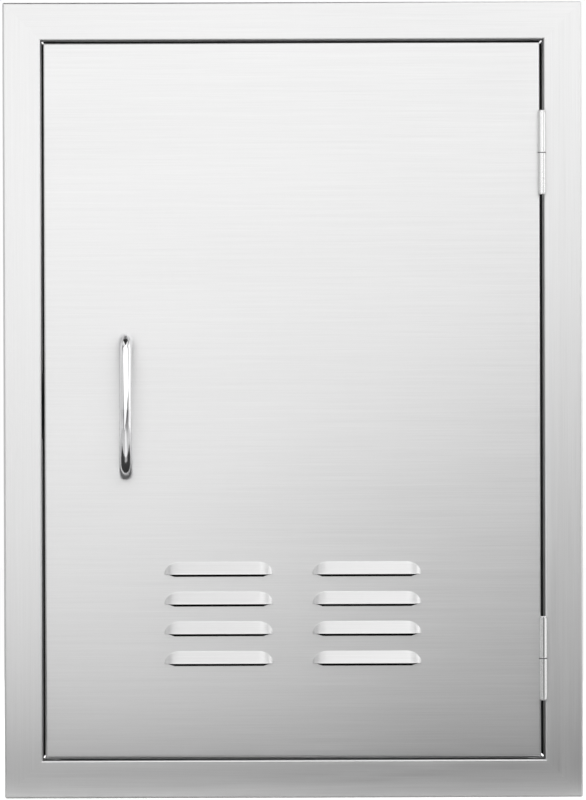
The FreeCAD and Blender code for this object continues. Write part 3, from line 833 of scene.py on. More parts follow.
def open_oval(
    mesh: BMesh, centre: Vector, normal: Vector, radius: float, stretch: float = 0.0
) -> list[BMEdge]:
    """Opens a round or upright oval hole in a flat stretch of a mesh.

    Args:
        mesh: the mesh.
        centre: the middle of the hole.
        normal: the way that the flat stretch looks.
        radius: the radius of its ends.
        stretch: half the distance between the centres of its ends.

    Returns:
        The edges of the hole.
    """
    margin, sides, parallel, near = 0.8, 28, 0.999, 0.01
    side = Z.cross(normal)
    mesh.normal_update()

    def flat_faces() -> list[BMFace]:
        """Finds the flat stretch, again after each cut.

        Returns:
            Its faces.
        """
        return [
            face
            for face in mesh.faces
            if face.normal.dot(normal) > parallel
            and abs((face.calc_center_median() - centre).dot(normal)) < near
        ]

    for way, reach in ((side, 0), (-side, 0), (Z, stretch), (-Z, stretch)):
        bmesh.ops.bisect_plane(
            mesh,
            geom=all_of(flat_faces()),
            dist=1e-4,
            plane_co=centre + way * (radius + reach + margin),
            plane_no=way,
        )
    cell = min(flat_faces(), key=lambda face: (face.calc_center_median() - centre).length)
    outline = cell.edges[:]
    bmesh.ops.delete(mesh, geom=[cell], context="FACES_ONLY")
    turned = Matrix((side, Z, normal)).transposed().to_4x4()
    turned.translation = centre
    circle = bmesh.ops.create_circle(mesh, segments=sides, radius=radius, matrix=turned)["verts"]
    for way in (Z, -Z):
        half = [vert for vert in circle if (vert.co - centre).dot(way) > 1e-4]
        bmesh.ops.translate(mesh, verts=half, vec=way * stretch)
    rim = list(dict.fromkeys(edge for vert in circle for edge in vert.link_edges))
    bmesh.ops.triangle_fill(mesh, use_beauty=True, edges=outline + rim, normal=normal)
    return rim


def sink(mesh: BMesh, rim: Sequence[BMEdge], way: Vector, taper: float = 1.0) -> None:
    """Closes a hole's rim with a floor and sinks it, for a recess or a dimple.

    Args:
        mesh: the mesh.
        rim: the edges of the hole.
        way: how far and which way the floor goes.
        taper: the floor's size as a share of the hole's.
    """
    floor = bmesh.ops.contextual_create(mesh, geom=list(rim))["faces"]
    verts = push(mesh, floor, way, hollow=True)
    middle = sum((vert.co for vert in verts), Vector()) / len(verts)
    to_middle = Matrix.Translation(-middle)
    bmesh.ops.scale(mesh, verts=verts, vec=Vector((taper,) * 3), space=to_middle)


def merge(whole: BMesh, part: BMesh, place: Matrix = Matrix()) -> None:
    """Adds one mesh to another and frees it.

    Args:
        whole: the mesh that grows.
        part: the mesh that is added.
        place: where it goes.
    """
    bmesh.ops.transform(part, matrix=place, verts=part.verts[:])
    data = bpy.data.meshes.new("part")
    part.to_mesh(data)
    part.free()
    whole.from_mesh(data)
    bpy.data.meshes.remove(data)


def pan_screw(radius: float, length: float, head_radius: float, head: float, threads: int) -> BMesh:
    """A pan-head screw with a cross recess, its seat on the origin plane and its head upwards.

    Args:
        radius: the shank's radius.
        length: the shank's length.
        head_radius: the head's radius.
        head: the head's height.
        threads: how many thread crests show at the point.

    Returns:
        The closed mesh.
    """
    chamfer, flank, round_over, sides = 0.5, 0.25, 75, 16
    upright, arm_start, arm_length, recess_depth, recess_taper = 0.35, 0.28, 0.48, 0.55, 0.7
    pen = Pen(Vector((0, 0, -length)), X, -Y)
    pen.go(radius - chamfer).turn(45).go(chamfer * math.sqrt(2))
    for _ in range(threads):
        pen.go(flank).turn(90).go(flank).turn(-90)
    pen.turn(45).go(-pen.tip.co.z).turn(-90)
    pen.go(head_radius - pen.tip.co.x).turn(90).go(upright * head)
    pen.bend((1 - upright) * head / math.sin(math.radians(round_over)), round_over, 6)
    reach = pen.tip.co.x
    mesh = lathe(pen.turn(90 - round_over).go(reach).mesh, Z, sides)
    poles = [vert for vert in mesh.verts if vert.co.xy.length < 1e-4]
    bmesh.ops.dissolve_verts(mesh, verts=poles)
    top = max(mesh.faces, key=lambda face: (face.calc_center_median().z, face.calc_area()))
    bmesh.ops.inset_individual(mesh, faces=[top], thickness=arm_start * reach)
    ring = bmesh.ops.inset_individual(mesh, faces=[top], thickness=arm_length * reach)["faces"]
    arms = sorted(ring, key=lambda face: math.atan2(*face.calc_center_median().xy))[::4]
    recess = push(mesh, [top, *arms], -Z * recess_depth * head, hollow=True)
    bmesh.ops.scale(mesh, verts=recess, vec=Vector((recess_taper, recess_taper, 1)))
    return closed(mesh)


def turned_to_side(mesh: BMesh, degrees: float) -> BMesh:
    """Turns a left-hand strip about the middle of the door, to another side.

    Args:
        mesh: the strip.
        degrees: how far it is turned, clockwise from the front.

    Returns:
        The same mesh.
    """
    turn = Matrix.Rotation(math.radians(degrees), 3, "Y")
    bmesh.ops.rotate(mesh, verts=mesh.verts[:], cent=Vector(), matrix=turn)
    return mesh


def halves(corner: Vector, degrees: int) -> tuple[float, float]:
    """Half an outline's size across and along the side at a turn from the left one."""
    return (corner.z, corner.x) if degrees % 180 else (corner.x, corner.z)


@dataclass
class WallFrame:
    """Four folded members, mitred and welded into the frame that the door closes.

    Attributes:
        sheet: the sheet's thickness.
        flange: the width of the face flange.
        bend: the outside radius of a bend.
        rear_lip: the width of the lip behind the door.
        slit: how far the rear lip stops short of each mitre.
        seam: the width of the ground line on each mitre.
        corner: the radius of the face's outer corners.
        corner_cuts: the angles of the flats that round a member's half of a corner, in degrees.
        screw_radius: the radius of the holes for the wall screws.
        screw_depth: how far behind the wall face they are.
        screw_pitch: from one of them to the other.
        catch_radius: the radius of the holes for the catch.
        catch_head: the radius of the catch screws' heads.
    """

    sheet: float = 1.0
    flange: float = 26.8
    bend: float = 1.5
    rear_lip: float = 8.0
    slit: float = 0.8
    seam: float = 0.02
    corner: float = 1.6
    corner_cuts: tuple[float, float] = (12.0, 34.0)
    screw_radius: float = 2.25
    screw_depth: float = 27.0
    screw_pitch: float = 260.0
    catch_radius: float = 1.9
    catch_head: float = 3.2
    low: Vector = corner_of("frame_left_stile", 0)
    high: Vector = corner_of("frame_right_stile", 1)

    def member(self, half_across: float, half_along: float) -> BMesh:
        """One member, drawn as the left one, before its ends are mitred.

        Args:
            half_across: half the frame's size across the member.
            half_along: half its size along the member.

        Returns:
            The open sheet, its face to the front.
        """
        face, back = self.low.y, self.high.y
        inner = self.bend - self.sheet
        pen = Pen(Vector((-half_across, 0, -half_along)), -Y, Z)
        pen.go(-face - self.bend).bend(self.bend, 90).go(self.flange - 2 * self.bend)
        pen.bend(self.bend, 90).go(back - self.sheet - inner - face - self.bend)
        pen.bend(inner, -90, 3).go(self.rear_lip - inner)
        strip = face_front(sweep(pen.mesh, Z * (2 * half_along)))
        for end in (1, -1):
            place = Vector((-half_across, 0, end * (half_along - self.slit)))
            trim_lip(strip, back - self.bend, place, Vector((1, 0, end)))
        return strip

    def mitre(self, strip: BMesh, half_across: float, half_along: float) -> BMesh:
        """Cuts both ends of a member at 45 degrees and rounds its share of the outer corners.

        Args:
            strip: the member, closed.
            half_across: half the frame's size across the member.
            half_along: half its size along the member.

        Returns:
            The same mesh.
        """
        for end in (1, -1):
            corner = Vector((-half_across, 0, end * half_along))
            cut_off(strip, corner - Z * end * self.seam / 2, Vector((1, 0, end)), fill=True)
            centre = corner + Vector((self.corner, 0, -end * self.corner))
            for degrees in self.corner_cuts:
                turned = math.radians(degrees)
                outward = Vector((-math.cos(turned), 0, end * math.sin(turned)))
                cut_off(strip, centre + outward * self.corner, outward, fill=True)
        return closed(strip)

    def holes(self, with_catch: bool) -> list[tuple[float, float, float]]:
        """The holes in one stile's box wall.

        Args:
            with_catch: whether the catch is on it.

        Returns:
            The depth, height and radius of each.
        """
        half = self.screw_pitch / 2
        holes = [(self.screw_depth, height, self.screw_radius) for height in (-half, half)]
        if with_catch:
            low, high = box_of("catch_screws")
            centre, reach = (low + high) / 2, (high.z - low.z) / 2 - self.catch_head
            for height in (centre.z - reach, centre.z + reach):
                holes.append((centre.y, height, self.catch_radius))
        return holes

    def build(self) -> None:
        """Builds the stiles and rails and puts them on the frame."""
        wall = -self.high.x + self.flange
        for name, degrees, finish in (
            ("left_stile", 0, STILE_STEEL),
            ("top_rail", 90, RAIL_STEEL),
            ("right_stile", 180, STILE_STEEL),
            ("bottom_rail", 270, RAIL_STEEL),
        ):
            across, along = halves(self.high, degrees)
            strip = self.member(across, along)
            if finish is STILE_STEEL:
                for depth, height, radius in self.holes(with_catch=degrees == 0):
                    open_oval(strip, Vector((wall, depth, height)), X, radius)
            thicken(strip, self.sheet)
            for face in strip.faces:
                depth = face.calc_center_median().y
                # Front-side faces behind the face bend get painted shade: the box wall a darker grey,
                # the rear lip's front face near black as the shadow in the gap.
                if face.material_index == 0 and depth > self.bend:
                    face.material_index = 3 if depth > self.high.y - 2 * self.sheet else 2
            self.mitre(strip, across, along)
            turned_to_side(strip, degrees)
            finishes = [finish, FRAME_BACK, WELL_PAINTED_SHADE, LIP_PAINTED_SHADOW]
            keep(strip, name, Body.FRAME, finishes, f"frame_{name}")


@dataclass
class VentedDoor:
    """The tray of the door with its pressed louvres, and the angle behind its hinge edge.

    Attributes:
        sheet: the sheet's thickness.
        bend: the outside radius of a bend.
        lip: the width of the rear lips.
        slit: the mitre slit between two lips.
        border: how far in from the edge the pressed field begins.
        rows: louvres one above the other.
        columns: louvres side by side.
        length: a louvre's length.
        shoulder: the stretch at each end over which it falls to the sheet.
        stand: how far its crest stands out.
        slope: the angle of its face to the sheet.
        rim: the radius where its face leaves the sheet.
        nose: the radius by which its face rounds over to its lip.
        lip_slope: the angle of its face at the sheared lip.
        mouth: the height of the opening below the lip.
        mouth_start: how far in from a tip the opening's lower edge dips, and by how much.
        mouth_full: how far in from a tip the opening has its full height.
        mouth_roll: how far inwards and upwards, as a share of the mouth, each fold behind it goes.
        row_pitch: from one row to the next.
        column_pitch: from one column to the next.
        first: the left column's middle and the lowest row's lip.
        angle_sheet: the thickness of the angle.
        weld: the radius of a spot weld's dimple, its depth and its floor's share of its width.
        welds: where the spot welds are, as shares of a hinge leaf's height.
    """

    sheet: float = 1.0
    bend: float = 1.5
    lip: float = 12.0
    slit: float = 0.8
    border: float = 8.0
    rows: int = 4
    columns: int = 2
    length: float = 76.4
    shoulder: float = 10.5
    stand: float = 4.6
    slope: float = 29.3
    rim: float = 1.2
    nose: float = 3.0
    lip_slope: float = 8.0
    mouth: float = 1.8
    mouth_start: tuple[float, float] = (3.0, 0.35)
    mouth_full: float = 7.0
    mouth_roll: tuple[tuple[float, float], ...] = ((0.35, 0.2), (0.75, 0.64), (0.35, 0.8))
    row_pitch: float = 20.9
    column_pitch: float = 104.0
    first: tuple[float, float] = (-52.5, -184.9)
    angle_sheet: float = 1.2
    weld: tuple[float, float, float] = (1.9, 0.25, 0.75)
    welds: tuple[float, ...] = (0.15, 0.38, 0.62, 0.85)
    low: Vector = corner_of("door_skin", 0)
    high: Vector = corner_of("door_skin", 1)
    face: float = -6.0

    def side(self, half_across: float, half_along: float) -> BMesh:
        """One side of the tray, drawn as the left one: border, return and rear lip, mitred.

        Args:
            half_across: half the tray's size across the side.
            half_along: half its size along the side.

        Returns:
            The open sheet.
        """
        back, rounding = self.high.y, 0.1
        pen = Pen(Vector((-half_across + self.border, self.face, -half_along)), -X, Z)
        pen.go(self.border - self.bend).bend(self.bend, -90).go(back - self.face - 2 * self.bend)
        pen.bend(self.bend, -90).go(self.lip - self.bend)
        strip = face_front(sweep(pen.mesh, Z * (2 * half_along)))
        for end in (1, -1):
            corner = Vector((-half_across, 0, end * half_along))
            cut_off(strip, corner, Vector((1, 0, end)), fill=False)
            place = corner - Z * end * self.slit
            trim_lip(strip, back - rounding, place, Vector((1, 0, end)))
        return strip

    def hood(self) -> BMesh:
        """One louvre about its own middle: its lip at height 0, on the plane of the door's face.

        Its section is drawn at the middle, pushed along to the shoulder and shrunk from there to
        a point at the tip, like the quarter of an ellipse, then mirrored.

        Returns:
            The pressed face, open along its rim and below its lip.
        """
        steep, easy = math.radians(self.slope), math.radians(self.lip_slope)
        rim_out = self.rim * (1 - math.cos(steep))
        nose_out = self.nose * (math.cos(easy) - math.cos(steep))
        run = (self.stand - rim_out - nose_out) / math.sin(steep)
        rise = self.rim * math.sin(steep) + run * math.cos(steep)
        rise += self.nose * (math.sin(steep) - math.sin(easy))
        pen = Pen(Vector((0, self.face, rise)), -Z, X)
        rim_steps, nose_steps, shoulder_steps = 4, 5, 12
        pen.bend(self.rim, -self.slope, rim_steps).go(run)
        pen.bend(self.nose, self.slope - self.lip_slope, nose_steps)
        mesh = pen.mesh
        front = mesh.edges[:]
        straight = self.length / 2 - self.shoulder
        places = [(straight, 1.0)]
        for step in range(1, shoulder_steps + 1):
            angle = math.pi / 2 * step / shoulder_steps
            places.append((straight + self.shoulder * math.sin(angle), math.cos(angle)))
        reached, size = 0.0, 1.0
        for place, share in places:
            front, verts, _ = grow(mesh, front)
            bmesh.ops.scale(
                mesh,
                verts=verts,
                vec=Vector((1, share / size, share / size)),
                space=Matrix.Translation(-Y * self.face),
            )
            bmesh.ops.translate(mesh, verts=verts, vec=X * (place - reached))
            reached, size = place, max(share, 1e-6)
        bmesh.ops.remove_doubles(mesh, verts=mesh.verts[:], dist=1e-3)
        bmesh.ops.mirror(mesh, geom=everything(mesh), merge_dist=1e-3, axis="X")
        return face_front(mesh)

    def mouth_edge(self, mesh: BMesh) -> None:
        """The lower edge of one louvre's opening, its sheet set in behind the lip.

        Args:
            mesh: the hood of that louvre, to which the edge is added from tip to tip.
        """
        half = self.length / 2
        start, dip = self.mouth_start
        places = [(start - half, -dip), (self.mouth_full - half, -self.mouth)]
        places += [(-across, up) for across, up in reversed(places)]
        tips = [
            min(mesh.verts, key=lambda vert: (vert.co - Vector((end, self.face, 0))).length)
            for end in (-half, half)
        ]
        chain = [tips[0]]
        for across, up in places:
            chain.append(mesh.verts.new((across, self.face, up)))
        chain.append(tips[1])
        edges = [mesh.edges.new(pair) for pair in zip(chain, chain[1:])]
        for inward, share in self.mouth_roll:
            edges, verts, faces = grow(mesh, edges)
            for face in faces:
                # The folds get the third finish, painted near black as the shade inside the louvre's
                # opening.
                face.material_index = 2
            bmesh.ops.translate(mesh, verts=verts, vec=Vector((0, inward, share * self.mouth)))

    def skin(self) -> BMesh:
        """The whole tray and its louvres, one sheet.

        Returns:
            The closed mesh.
        """
        half = (self.high - self.low) / 2
        centre = (self.high + self.low) / 2
        tray = bmesh.new()
        for degrees in (0, 90, 180, 270):
            merge(tray, turned_to_side(self.side(*halves(half, degrees)), degrees))
        bmesh.ops.translate(tray, verts=tray.verts[:], vec=Vector((centre.x, 0, centre.z)))
        bmesh.ops.remove_doubles(tray, verts=tray.verts[:], dist=1e-3)
        louvre = self.hood()
        self.mouth_edge(louvre)
        for column in range(self.columns):
            for row in range(self.rows):
                across = self.first[0] + column * self.column_pitch
                up = self.first[1] + row * self.row_pitch
                merge(tray, louvre.copy(), Matrix.Translation((across, 0, up)))
        louvre.free()
        field_edges = [edge for edge in tray.edges if self.bounds_field(edge)]
        bmesh.ops.triangle_fill(tray, use_beauty=True, edges=field_edges, normal=-Y)
        return thicken(face_front(tray), self.sheet)

    def bounds_field(self, edge: BMEdge) -> bool:
        """Whether an edge lies in the face's plane and bounds the flat field between louvres."""
        level = all(abs(vert.co.y - self.face) < 1e-3 for vert in edge.verts)
        return level and len(edge.link_faces) == 1

    def stiffener(self) -> BMesh:
        """The folded angle inside the tray, with the dimples of its spot welds.

        Returns:
            The closed mesh.
        """
        low, high = box_of("door_hinge_stiffener")
        bend = self.bend - self.sheet + self.angle_sheet
        pen = Pen(low.copy(), X, Z)
        pen.go(high.x - low.x - bend).bend(bend, 90).go(high.y - low.y - bend)
        strip = face_front(sweep(pen.mesh, Z * (high.z - low.z)))
        thicken(strip, self.angle_sheet)
        depth = (low.y + high.y) / 2 + self.sheet
        radius, dent, floor = self.weld
        for side in ("upper", "lower"):
            bottom, top = box_of(f"hinge_{side}_door_leaf")
            for share in self.welds:
                height = bottom.z + share * (top.z - bottom.z)
                spot = Vector((high.x - self.angle_sheet, depth, height))
                sink(strip, open_oval(strip, spot, -X, radius), X * dent, floor)
        return closed(strip)

    def build(self) -> None:
        """Builds the tray and its angle and puts them on the door."""
        # The third finish is painted shade, near black, for the folds inside each louvre's mouth.
        finishes = [DOOR_STEEL, DOOR_INSIDE, LOUVRE_MOUTH_SHADE]
        keep(self.skin(), "door_tray", Body.DOOR, finishes, "door_skin", crease=40.0)
        angle = [MILL_STEEL, MILL_STEEL]
        keep(self.stiffener(), "hinge_edge_angle", Body.DOOR, angle, "door_hinge_stiffener")


@dataclass
class BowHandle:
    """A cast bow pull with its two screws and washers.

    Attributes:
        feet: from the middle of one foot to the other's.
        stand: how far the middle of the bow stands out.
        post: the straight stretch at each foot.
        elbow: the radius between a post and the bow.
        foot: half the width and half the height of a foot.
        grip: half the width and half the depth at the middle.
        screw: the radius of a screw's shank.
        screw_head: the height of its head.
    """

    feet: float = 95.0
    stand: float = 27.0
    post: float = 7.0
    elbow: float = 13.0
    foot: tuple[float, float] = (4.9, 4.55)
    grip: tuple[float, float] = (4.2, 3.25)
    screw: float = 1.95
    screw_head: float = 2.6
    low: Vector = corner_of("handle", 0)
    high: Vector = corner_of("handle", 1)

    def stations(self) -> list[tuple[float, float, float]]:
        """Places along the upper half of the bow, from the foot to the middle.

        Returns:
            How far out and how far up each is, and the angle turned there.
        """
        rise, reach = self.stand - self.post, self.feet / 2 - self.elbow
        radius = (rise**2 + reach**2 - self.elbow**2) / (2 * (rise - self.elbow))
        turned = math.asin(reach / (radius - self.elbow))
        elbow_steps, bow_steps = 12, 14
        stations = [(0.0, self.feet / 2, math.pi / 2)]
        for step in range(elbow_steps + 1):
            angle = turned + (math.pi / 2 - turned) * (1 - step / elbow_steps)
            out = self.post + self.elbow * math.cos(angle)
            stations.append((out, reach + self.elbow * math.sin(angle), angle))
        for step in range(1, bow_steps + 1):
            angle = turned * (1 - step / bow_steps)
            out = self.stand - radius * (1 - math.cos(angle))
            stations.append((out, radius * math.sin(angle), angle))
        return stations

    def bow(self) -> BMesh:
        """Ovals pushed along the centre line, widest at the feet and waisted between.

        Returns:
            The closed mesh.
        """
        centre = (self.low + self.high) / 2
        upper = self.stations()
        lower = [(out, -up, -angle) for out, up, angle in reversed(upper[:-1])]
        mesh, sides = bmesh.new(), 40
        bmesh.ops.create_circle(mesh, segments=sides, radius=1.0)
        front, verts, last = mesh.edges[:], mesh.verts[:], Matrix()
        for count, (out, up, angle) in enumerate(upper + lower):
            share = (2 * up / self.feet) ** 2
            wide, deep = (grip + (foot - grip) * share for grip, foot in zip(self.grip, self.foot))
            place = Matrix.Translation(Vector((centre.x, self.high.y - out, centre.z + up)))
            ring = place @ Matrix.Rotation(-angle, 4, "X") @ Matrix.Diagonal((wide, deep, 1, 1))
            if count:
                front, verts, _ = grow(mesh, front)
            bmesh.ops.transform(mesh, matrix=ring @ last.inverted(), verts=verts)
            last = ring
        bmesh.ops.holes_fill(mesh, edges=mesh.edges[:])
        return closed(mesh)

    def build(self) -> None:
        """Builds the bow and its screws and puts them on the door."""
        keep(self.bow(), "bow_handle", Body.DOOR, [HANDLE_STEEL], "handle", crease=60.0)
        screws = bmesh.new()
        low, high = box_of("handle_screws")
        head_radius, seat = (high.x - low.x) / 2, high.y - self.screw_head
        centre = (low + high) / 2
        to_back = Matrix.Rotation(-math.pi / 2, 4, "X")
        for way in (-1, 1):
            item = pan_screw(self.screw, seat - low.y, head_radius, self.screw_head, threads=0)
            place = Matrix.Translation((centre.x, seat, centre.z + way * self.feet / 2))
            merge(screws, item, place @ to_back)
        keep(screws, "handle_pan_screws", Body.DOOR, [SCREW_STEEL], "handle_screws")
        dress("handle_washers", SCREW_STEEL)


@dataclass
class PinHinge:
    """One hinge: two leaves rolled round a headed pin, with a washer between the knuckles.

    Attributes:
        side: upper or lower, as its CAD nodes are named.
        leaf: the leaves' thickness.
        knuckle: the knuckle's outside radius.
        side_face: from the axis to a leaf's outer face, beside the pin.
        neck: from the axis back to where a leaf's full height begins.
        wrap: how far round the pin a leaf is rolled, in degrees.
        wrap_steps: how many flats the roll has.
        washer: the gap between the two knuckles.
        pin_radius: the pin's radius.
        head: the height of its heads.
        dome: the radius of their edges.
        sides: how many flats go round the pin.
    """

    side: str
    leaf: float = 1.0
    knuckle: float = 3.0
    side_face: float = 1.35
    neck: float = 3.7
    wrap: float = 318.0
    wrap_steps: int = 26
    washer: float = 1.0
    pin_radius: float = 2.0
    head: float = 0.8
    dome: float = 0.6
    sides: int = 32

    def __post_init__(self) -> None:
        """Reads the pin's box."""
        self.low, self.high = box_of(f"hinge_{self.side}_pin")
        self.axis = (self.low + self.high) / 2

    def rolled_leaf(self, owner: Body) -> BMesh:
        """A plate in the gap whose sheet rolls round the pin, over half of its height.

        Args:
            owner: the body that the leaf is on.

        Returns:
            The closed mesh, in its place.
        """
        low, high = box_of(f"hinge_{self.side}_{owner.value}_leaf")
        way = 1 if owner is Body.FRAME else -1
        start = Vector((way * self.side_face, high.y - self.axis.y, low.z))
        pen = Pen(start, -Y, Z)
        pen.go(start.y - self.neck).go(self.neck - math.sqrt(self.knuckle**2 - self.side_face**2))
        pen.arc(Vector((0, 0, low.z)), -way * self.wrap, self.wrap_steps)
        strip = sweep(pen.mesh, Z * (high.z - low.z))
        edge = (low.z + high.z - way * self.washer) / 2
        bmesh.ops.bisect_plane(strip, geom=everything(strip), plane_co=Z * edge, plane_no=Z)
        gone = [
            face
            for face in strip.faces
            if face.calc_center_median().y < self.neck
            and (face.calc_center_median().z - edge) * way > 0
        ]
        bmesh.ops.delete(strip, geom=gone, context="FACES")
        bmesh.ops.recalc_face_normals(strip, faces=strip.faces[:])
        plate = max(strip.faces, key=lambda face: face.calc_center_median().y)
        if plate.normal.x * way < 0:
            bmesh.ops.reverse_faces(strip, faces=strip.faces[:])
        thicken(strip, self.leaf)
        to_axis = Vector((self.axis.x, self.axis.y, 0))
        bmesh.ops.translate(strip, verts=strip.verts[:], vec=to_axis)
        return closed(strip)

    def pin(self) -> BMesh:
        """The pin with a domed head at each end.

        Returns:
            The closed mesh, in its place.
        """
        half = (self.high.z - self.low.z) / 2
        head_radius = (self.high.x - self.low.x) / 2
        ledge, flat = head_radius - self.pin_radius, head_radius - self.dome
        pen = Pen(Vector((0, 0, -half)), X, -Y)
        pen.go(flat).bend(self.dome, 90).go(self.head - self.dome).turn(90)
        pen.go(ledge).turn(-90).go(2 * (half - self.head)).turn(-90)
        pen.go(ledge).turn(90).go(self.head - self.dome).bend(self.dome, 90).go(flat)
        mesh = lathe(pen.mesh, Z, self.sides)
        bmesh.ops.translate(mesh, verts=mesh.verts[:], vec=self.axis)
        return mesh

    def build(self) -> None:
        """Builds the hinge's pieces and puts each leaf on its own body."""
        for owner in Body:
            name = f"{self.side}_{owner.value}_leaf"
            keep(self.rolled_leaf(owner), name, owner, [HINGE_STEEL, HINGE_STEEL], f"hinge_{name}")
        name = f"{self.side}_pin"
        keep(self.pin(), name, Body.FRAME, [HINGE_STEEL], f"hinge_{name}")
        dress(f"hinge_{self.side}_washer", WASHER_STEEL)


@dataclass
class MagnetCatch:
    """The magnetic catch on the left box wall, and its strike on the door.

    Attributes:
        ear: the ears' thickness.
        block: the height of the block between the ears.
        slot: the radius and half the length of an ear's slot.
        slot_floor: what is left of an ear behind its slot.
        edge: the radius of the moulded edges.
        screw_pitch: from one screw to the other.
        screw_radius: the radius of a screw's shank.
        screw_head: the radius of its head.
        nut: a nut's width over its flats, its thickness and the radius of its hole.
        strike_corner: the radius of the strike's corners.
        chamfer: how far the edges of the strike and of the nuts are softened.
        weld: the radius, depth and floor's share of a spot weld's dimple on the strike.
        weld_pitch: from one spot weld to the other.
    """

    ear: float = 3.0
    block: float = 27.0
    slot: tuple[float, float] = (1.9, 2.1)
    slot_floor: float = 0.4
    edge: float = 0.8
    screw_pitch: float = 37.0
    screw_radius: float = 1.72
    screw_head: float = 3.2
    nut: tuple[float, float, float] = (5.5, 2.2, 1.75)
    strike_corner: float = 2.0
    chamfer: float = 0.25
    weld: tuple[float, float, float] = (1.7, 0.2, 0.75)
    weld_pitch: float = 28.0
    low: Vector = corner_of("catch_housing", 0)
    high: Vector = corner_of("catch_housing", 1)

    def housing(self) -> BMesh:
        """A moulded block between two slotted ears.

        Returns:
            The closed mesh, in its place.
        """
        size = self.high - self.low
        centre = (self.low + self.high) / 2
        shoulder, ear_height = size.x - self.ear, (size.z - self.block) / 2
        pen = Pen(self.low.copy(), X, -Y)
        pen.go(self.ear).turn(90).go(ear_height).turn(-90).go(shoulder).turn(90).go(self.block)
        pen.turn(90).go(shoulder).turn(-90).go(ear_height).turn(90).go(self.ear)
        mesh = pen.turn(90).go(size.z).mesh
        bmesh.ops.remove_doubles(mesh, verts=mesh.verts[:], dist=1e-3)
        bmesh.ops.contextual_create(mesh, geom=mesh.edges[:])
        push(mesh, mesh.faces[:], Y * size.y)
        closed(mesh)
        for way in (-1, 1):
            spot = Vector((self.low.x + self.ear, centre.y, centre.z + way * self.screw_pitch / 2))
            sink(mesh, open_oval(mesh, spot, X, *self.slot), -X * (self.ear - self.slot_floor))
        soften(mesh, [edge for edge in mesh.edges if self.is_moulded_edge(edge)], self.edge, 3)
        return closed(mesh)

    def is_moulded_edge(self, edge: BMEdge) -> bool:
        """Whether an edge is one of the block's or ears' outer corners, off the wall.

        Args:
            edge: the edge.

        Returns:
            True for such a corner.
        """
        off_wall, shortest = 0.1, 5.0
        free = all(vert.co.x > self.low.x + off_wall for vert in edge.verts)
        long = edge.calc_length() > shortest
        return free and long and edge.is_manifold and edge.calc_face_angle(0.0) > CORNER

    def hexagon_nut(self) -> BMesh:
        """A hexagon nut about Z, its lower face on the origin plane.

        Returns:
            The closed mesh.
        """
        flats, thickness, hole = self.nut
        mesh = bmesh.new()
        bmesh.ops.create_circle(
            mesh,
            segments=6,
            radius=flats / 2 / math.cos(math.pi / 6),
            matrix=Matrix.Rotation(math.pi / 6, 4, "Z"),
        )
        cuts = 3
        bmesh.ops.subdivide_edges(mesh, edges=mesh.edges[:], cuts=cuts)
        bmesh.ops.create_circle(mesh, segments=6 * (cuts + 1), radius=hole)
        bmesh.ops.bridge_loops(mesh, edges=mesh.edges[:])
        push(mesh, mesh.faces[:], Z * thickness)
        closed(mesh)
        bore = 1.2 * hole
        rims = [
            edge
            for edge in mesh.edges
            if edge.calc_face_angle(0.0) > CORNER and edge.verts[0].co.xy.length > bore
        ]
        soften(mesh, rims, self.chamfer, 2)
        return closed(mesh)

    def fasteners(self) -> tuple[BMesh, BMesh]:
        """The two screws through the ears and the nuts outside the wall.

        Returns:
            The screws and the nuts, in their places.
        """
        low, high = box_of("catch_screws")
        centre = (low + high) / 2
        seat, nut_seat = self.low.x + self.ear, box_of("catch_nuts")[0].x
        screws, nuts = bmesh.new(), bmesh.new()
        to_right = Matrix.Rotation(math.pi / 2, 4, "Y")
        for way in (-1, 1):
            height = centre.z + way * self.screw_pitch / 2
            item = pan_screw(self.screw_radius, seat - low.x, self.screw_head, high.x - seat, 3)
            merge(screws, item, Matrix.Translation((seat, centre.y, height)) @ to_right)
            place = Matrix.Translation((nut_seat, centre.y, height))
            merge(nuts, self.hexagon_nut(), place @ to_right)
        return screws, nuts

    def strike(self) -> BMesh:
        """The strike plate with round corners and a soft edge, and its two spot welds.

        Returns:
            The closed mesh, in its place.
        """
        low, high = box_of("strike_plate")
        centre, size = (low + high) / 2, high - low
        mesh = bmesh.new()
        bmesh.ops.create_cube(mesh, size=1.0)
        bmesh.ops.scale(mesh, verts=mesh.verts[:], vec=size)
        through = [edge for edge in mesh.edges if edge.verts[0].co.xz == edge.verts[1].co.xz]
        soften(mesh, through, self.strike_corner, 6)
        back = size.y / 4
        rim = [edge for edge in mesh.edges if all(vert.co.y > back for vert in edge.verts)]
        soften(mesh, rim, self.chamfer, 2)
        bmesh.ops.translate(mesh, verts=mesh.verts[:], vec=centre)
        closed(mesh)
        radius, dent, floor = self.weld
        for way in (-1, 1):
            spot = Vector((centre.x, high.y, centre.z + way * self.weld_pitch / 2))
            sink(mesh, open_oval(mesh, spot, Y, radius), -Y * dent, floor)
        return closed(mesh)

    def build(self) -> None:
        """Builds the catch on the frame and the strike on the door."""
        keep(self.housing(), "catch_case", Body.FRAME, [CATCH_PLASTIC], "catch_housing")
        screws, nuts = self.fasteners()
        keep(screws, "catch_pan_screws", Body.FRAME, [SCREW_STEEL], "catch_screws")
        keep(nuts, "catch_hex_nuts", Body.FRAME, [SCREW_STEEL], "catch_nuts")
        keep(self.strike(), "strike", Body.DOOR, [PLATED_STEEL], "strike_plate")
        dress("catch_magnet", FERRITE)
        dress("catch_pole_plates", PLATED_STEEL)


def looking(place: Vector, aim: Vector, roll: float = 0.0) -> Matrix:
    """How something stands that faces a point.

    Args:
        place: where it stands, in metres.
        aim: the point, in metres.
        roll: how far it is turned in its own plane, in degrees.

    Returns:
        Its matrix.
    """
    facing = (aim - place).to_track_quat("-Z", "Y").to_matrix().to_4x4()
    turned = facing @ Matrix.Rotation(math.radians(roll), 4, "Z")
    return Matrix.Translation(place) @ turned


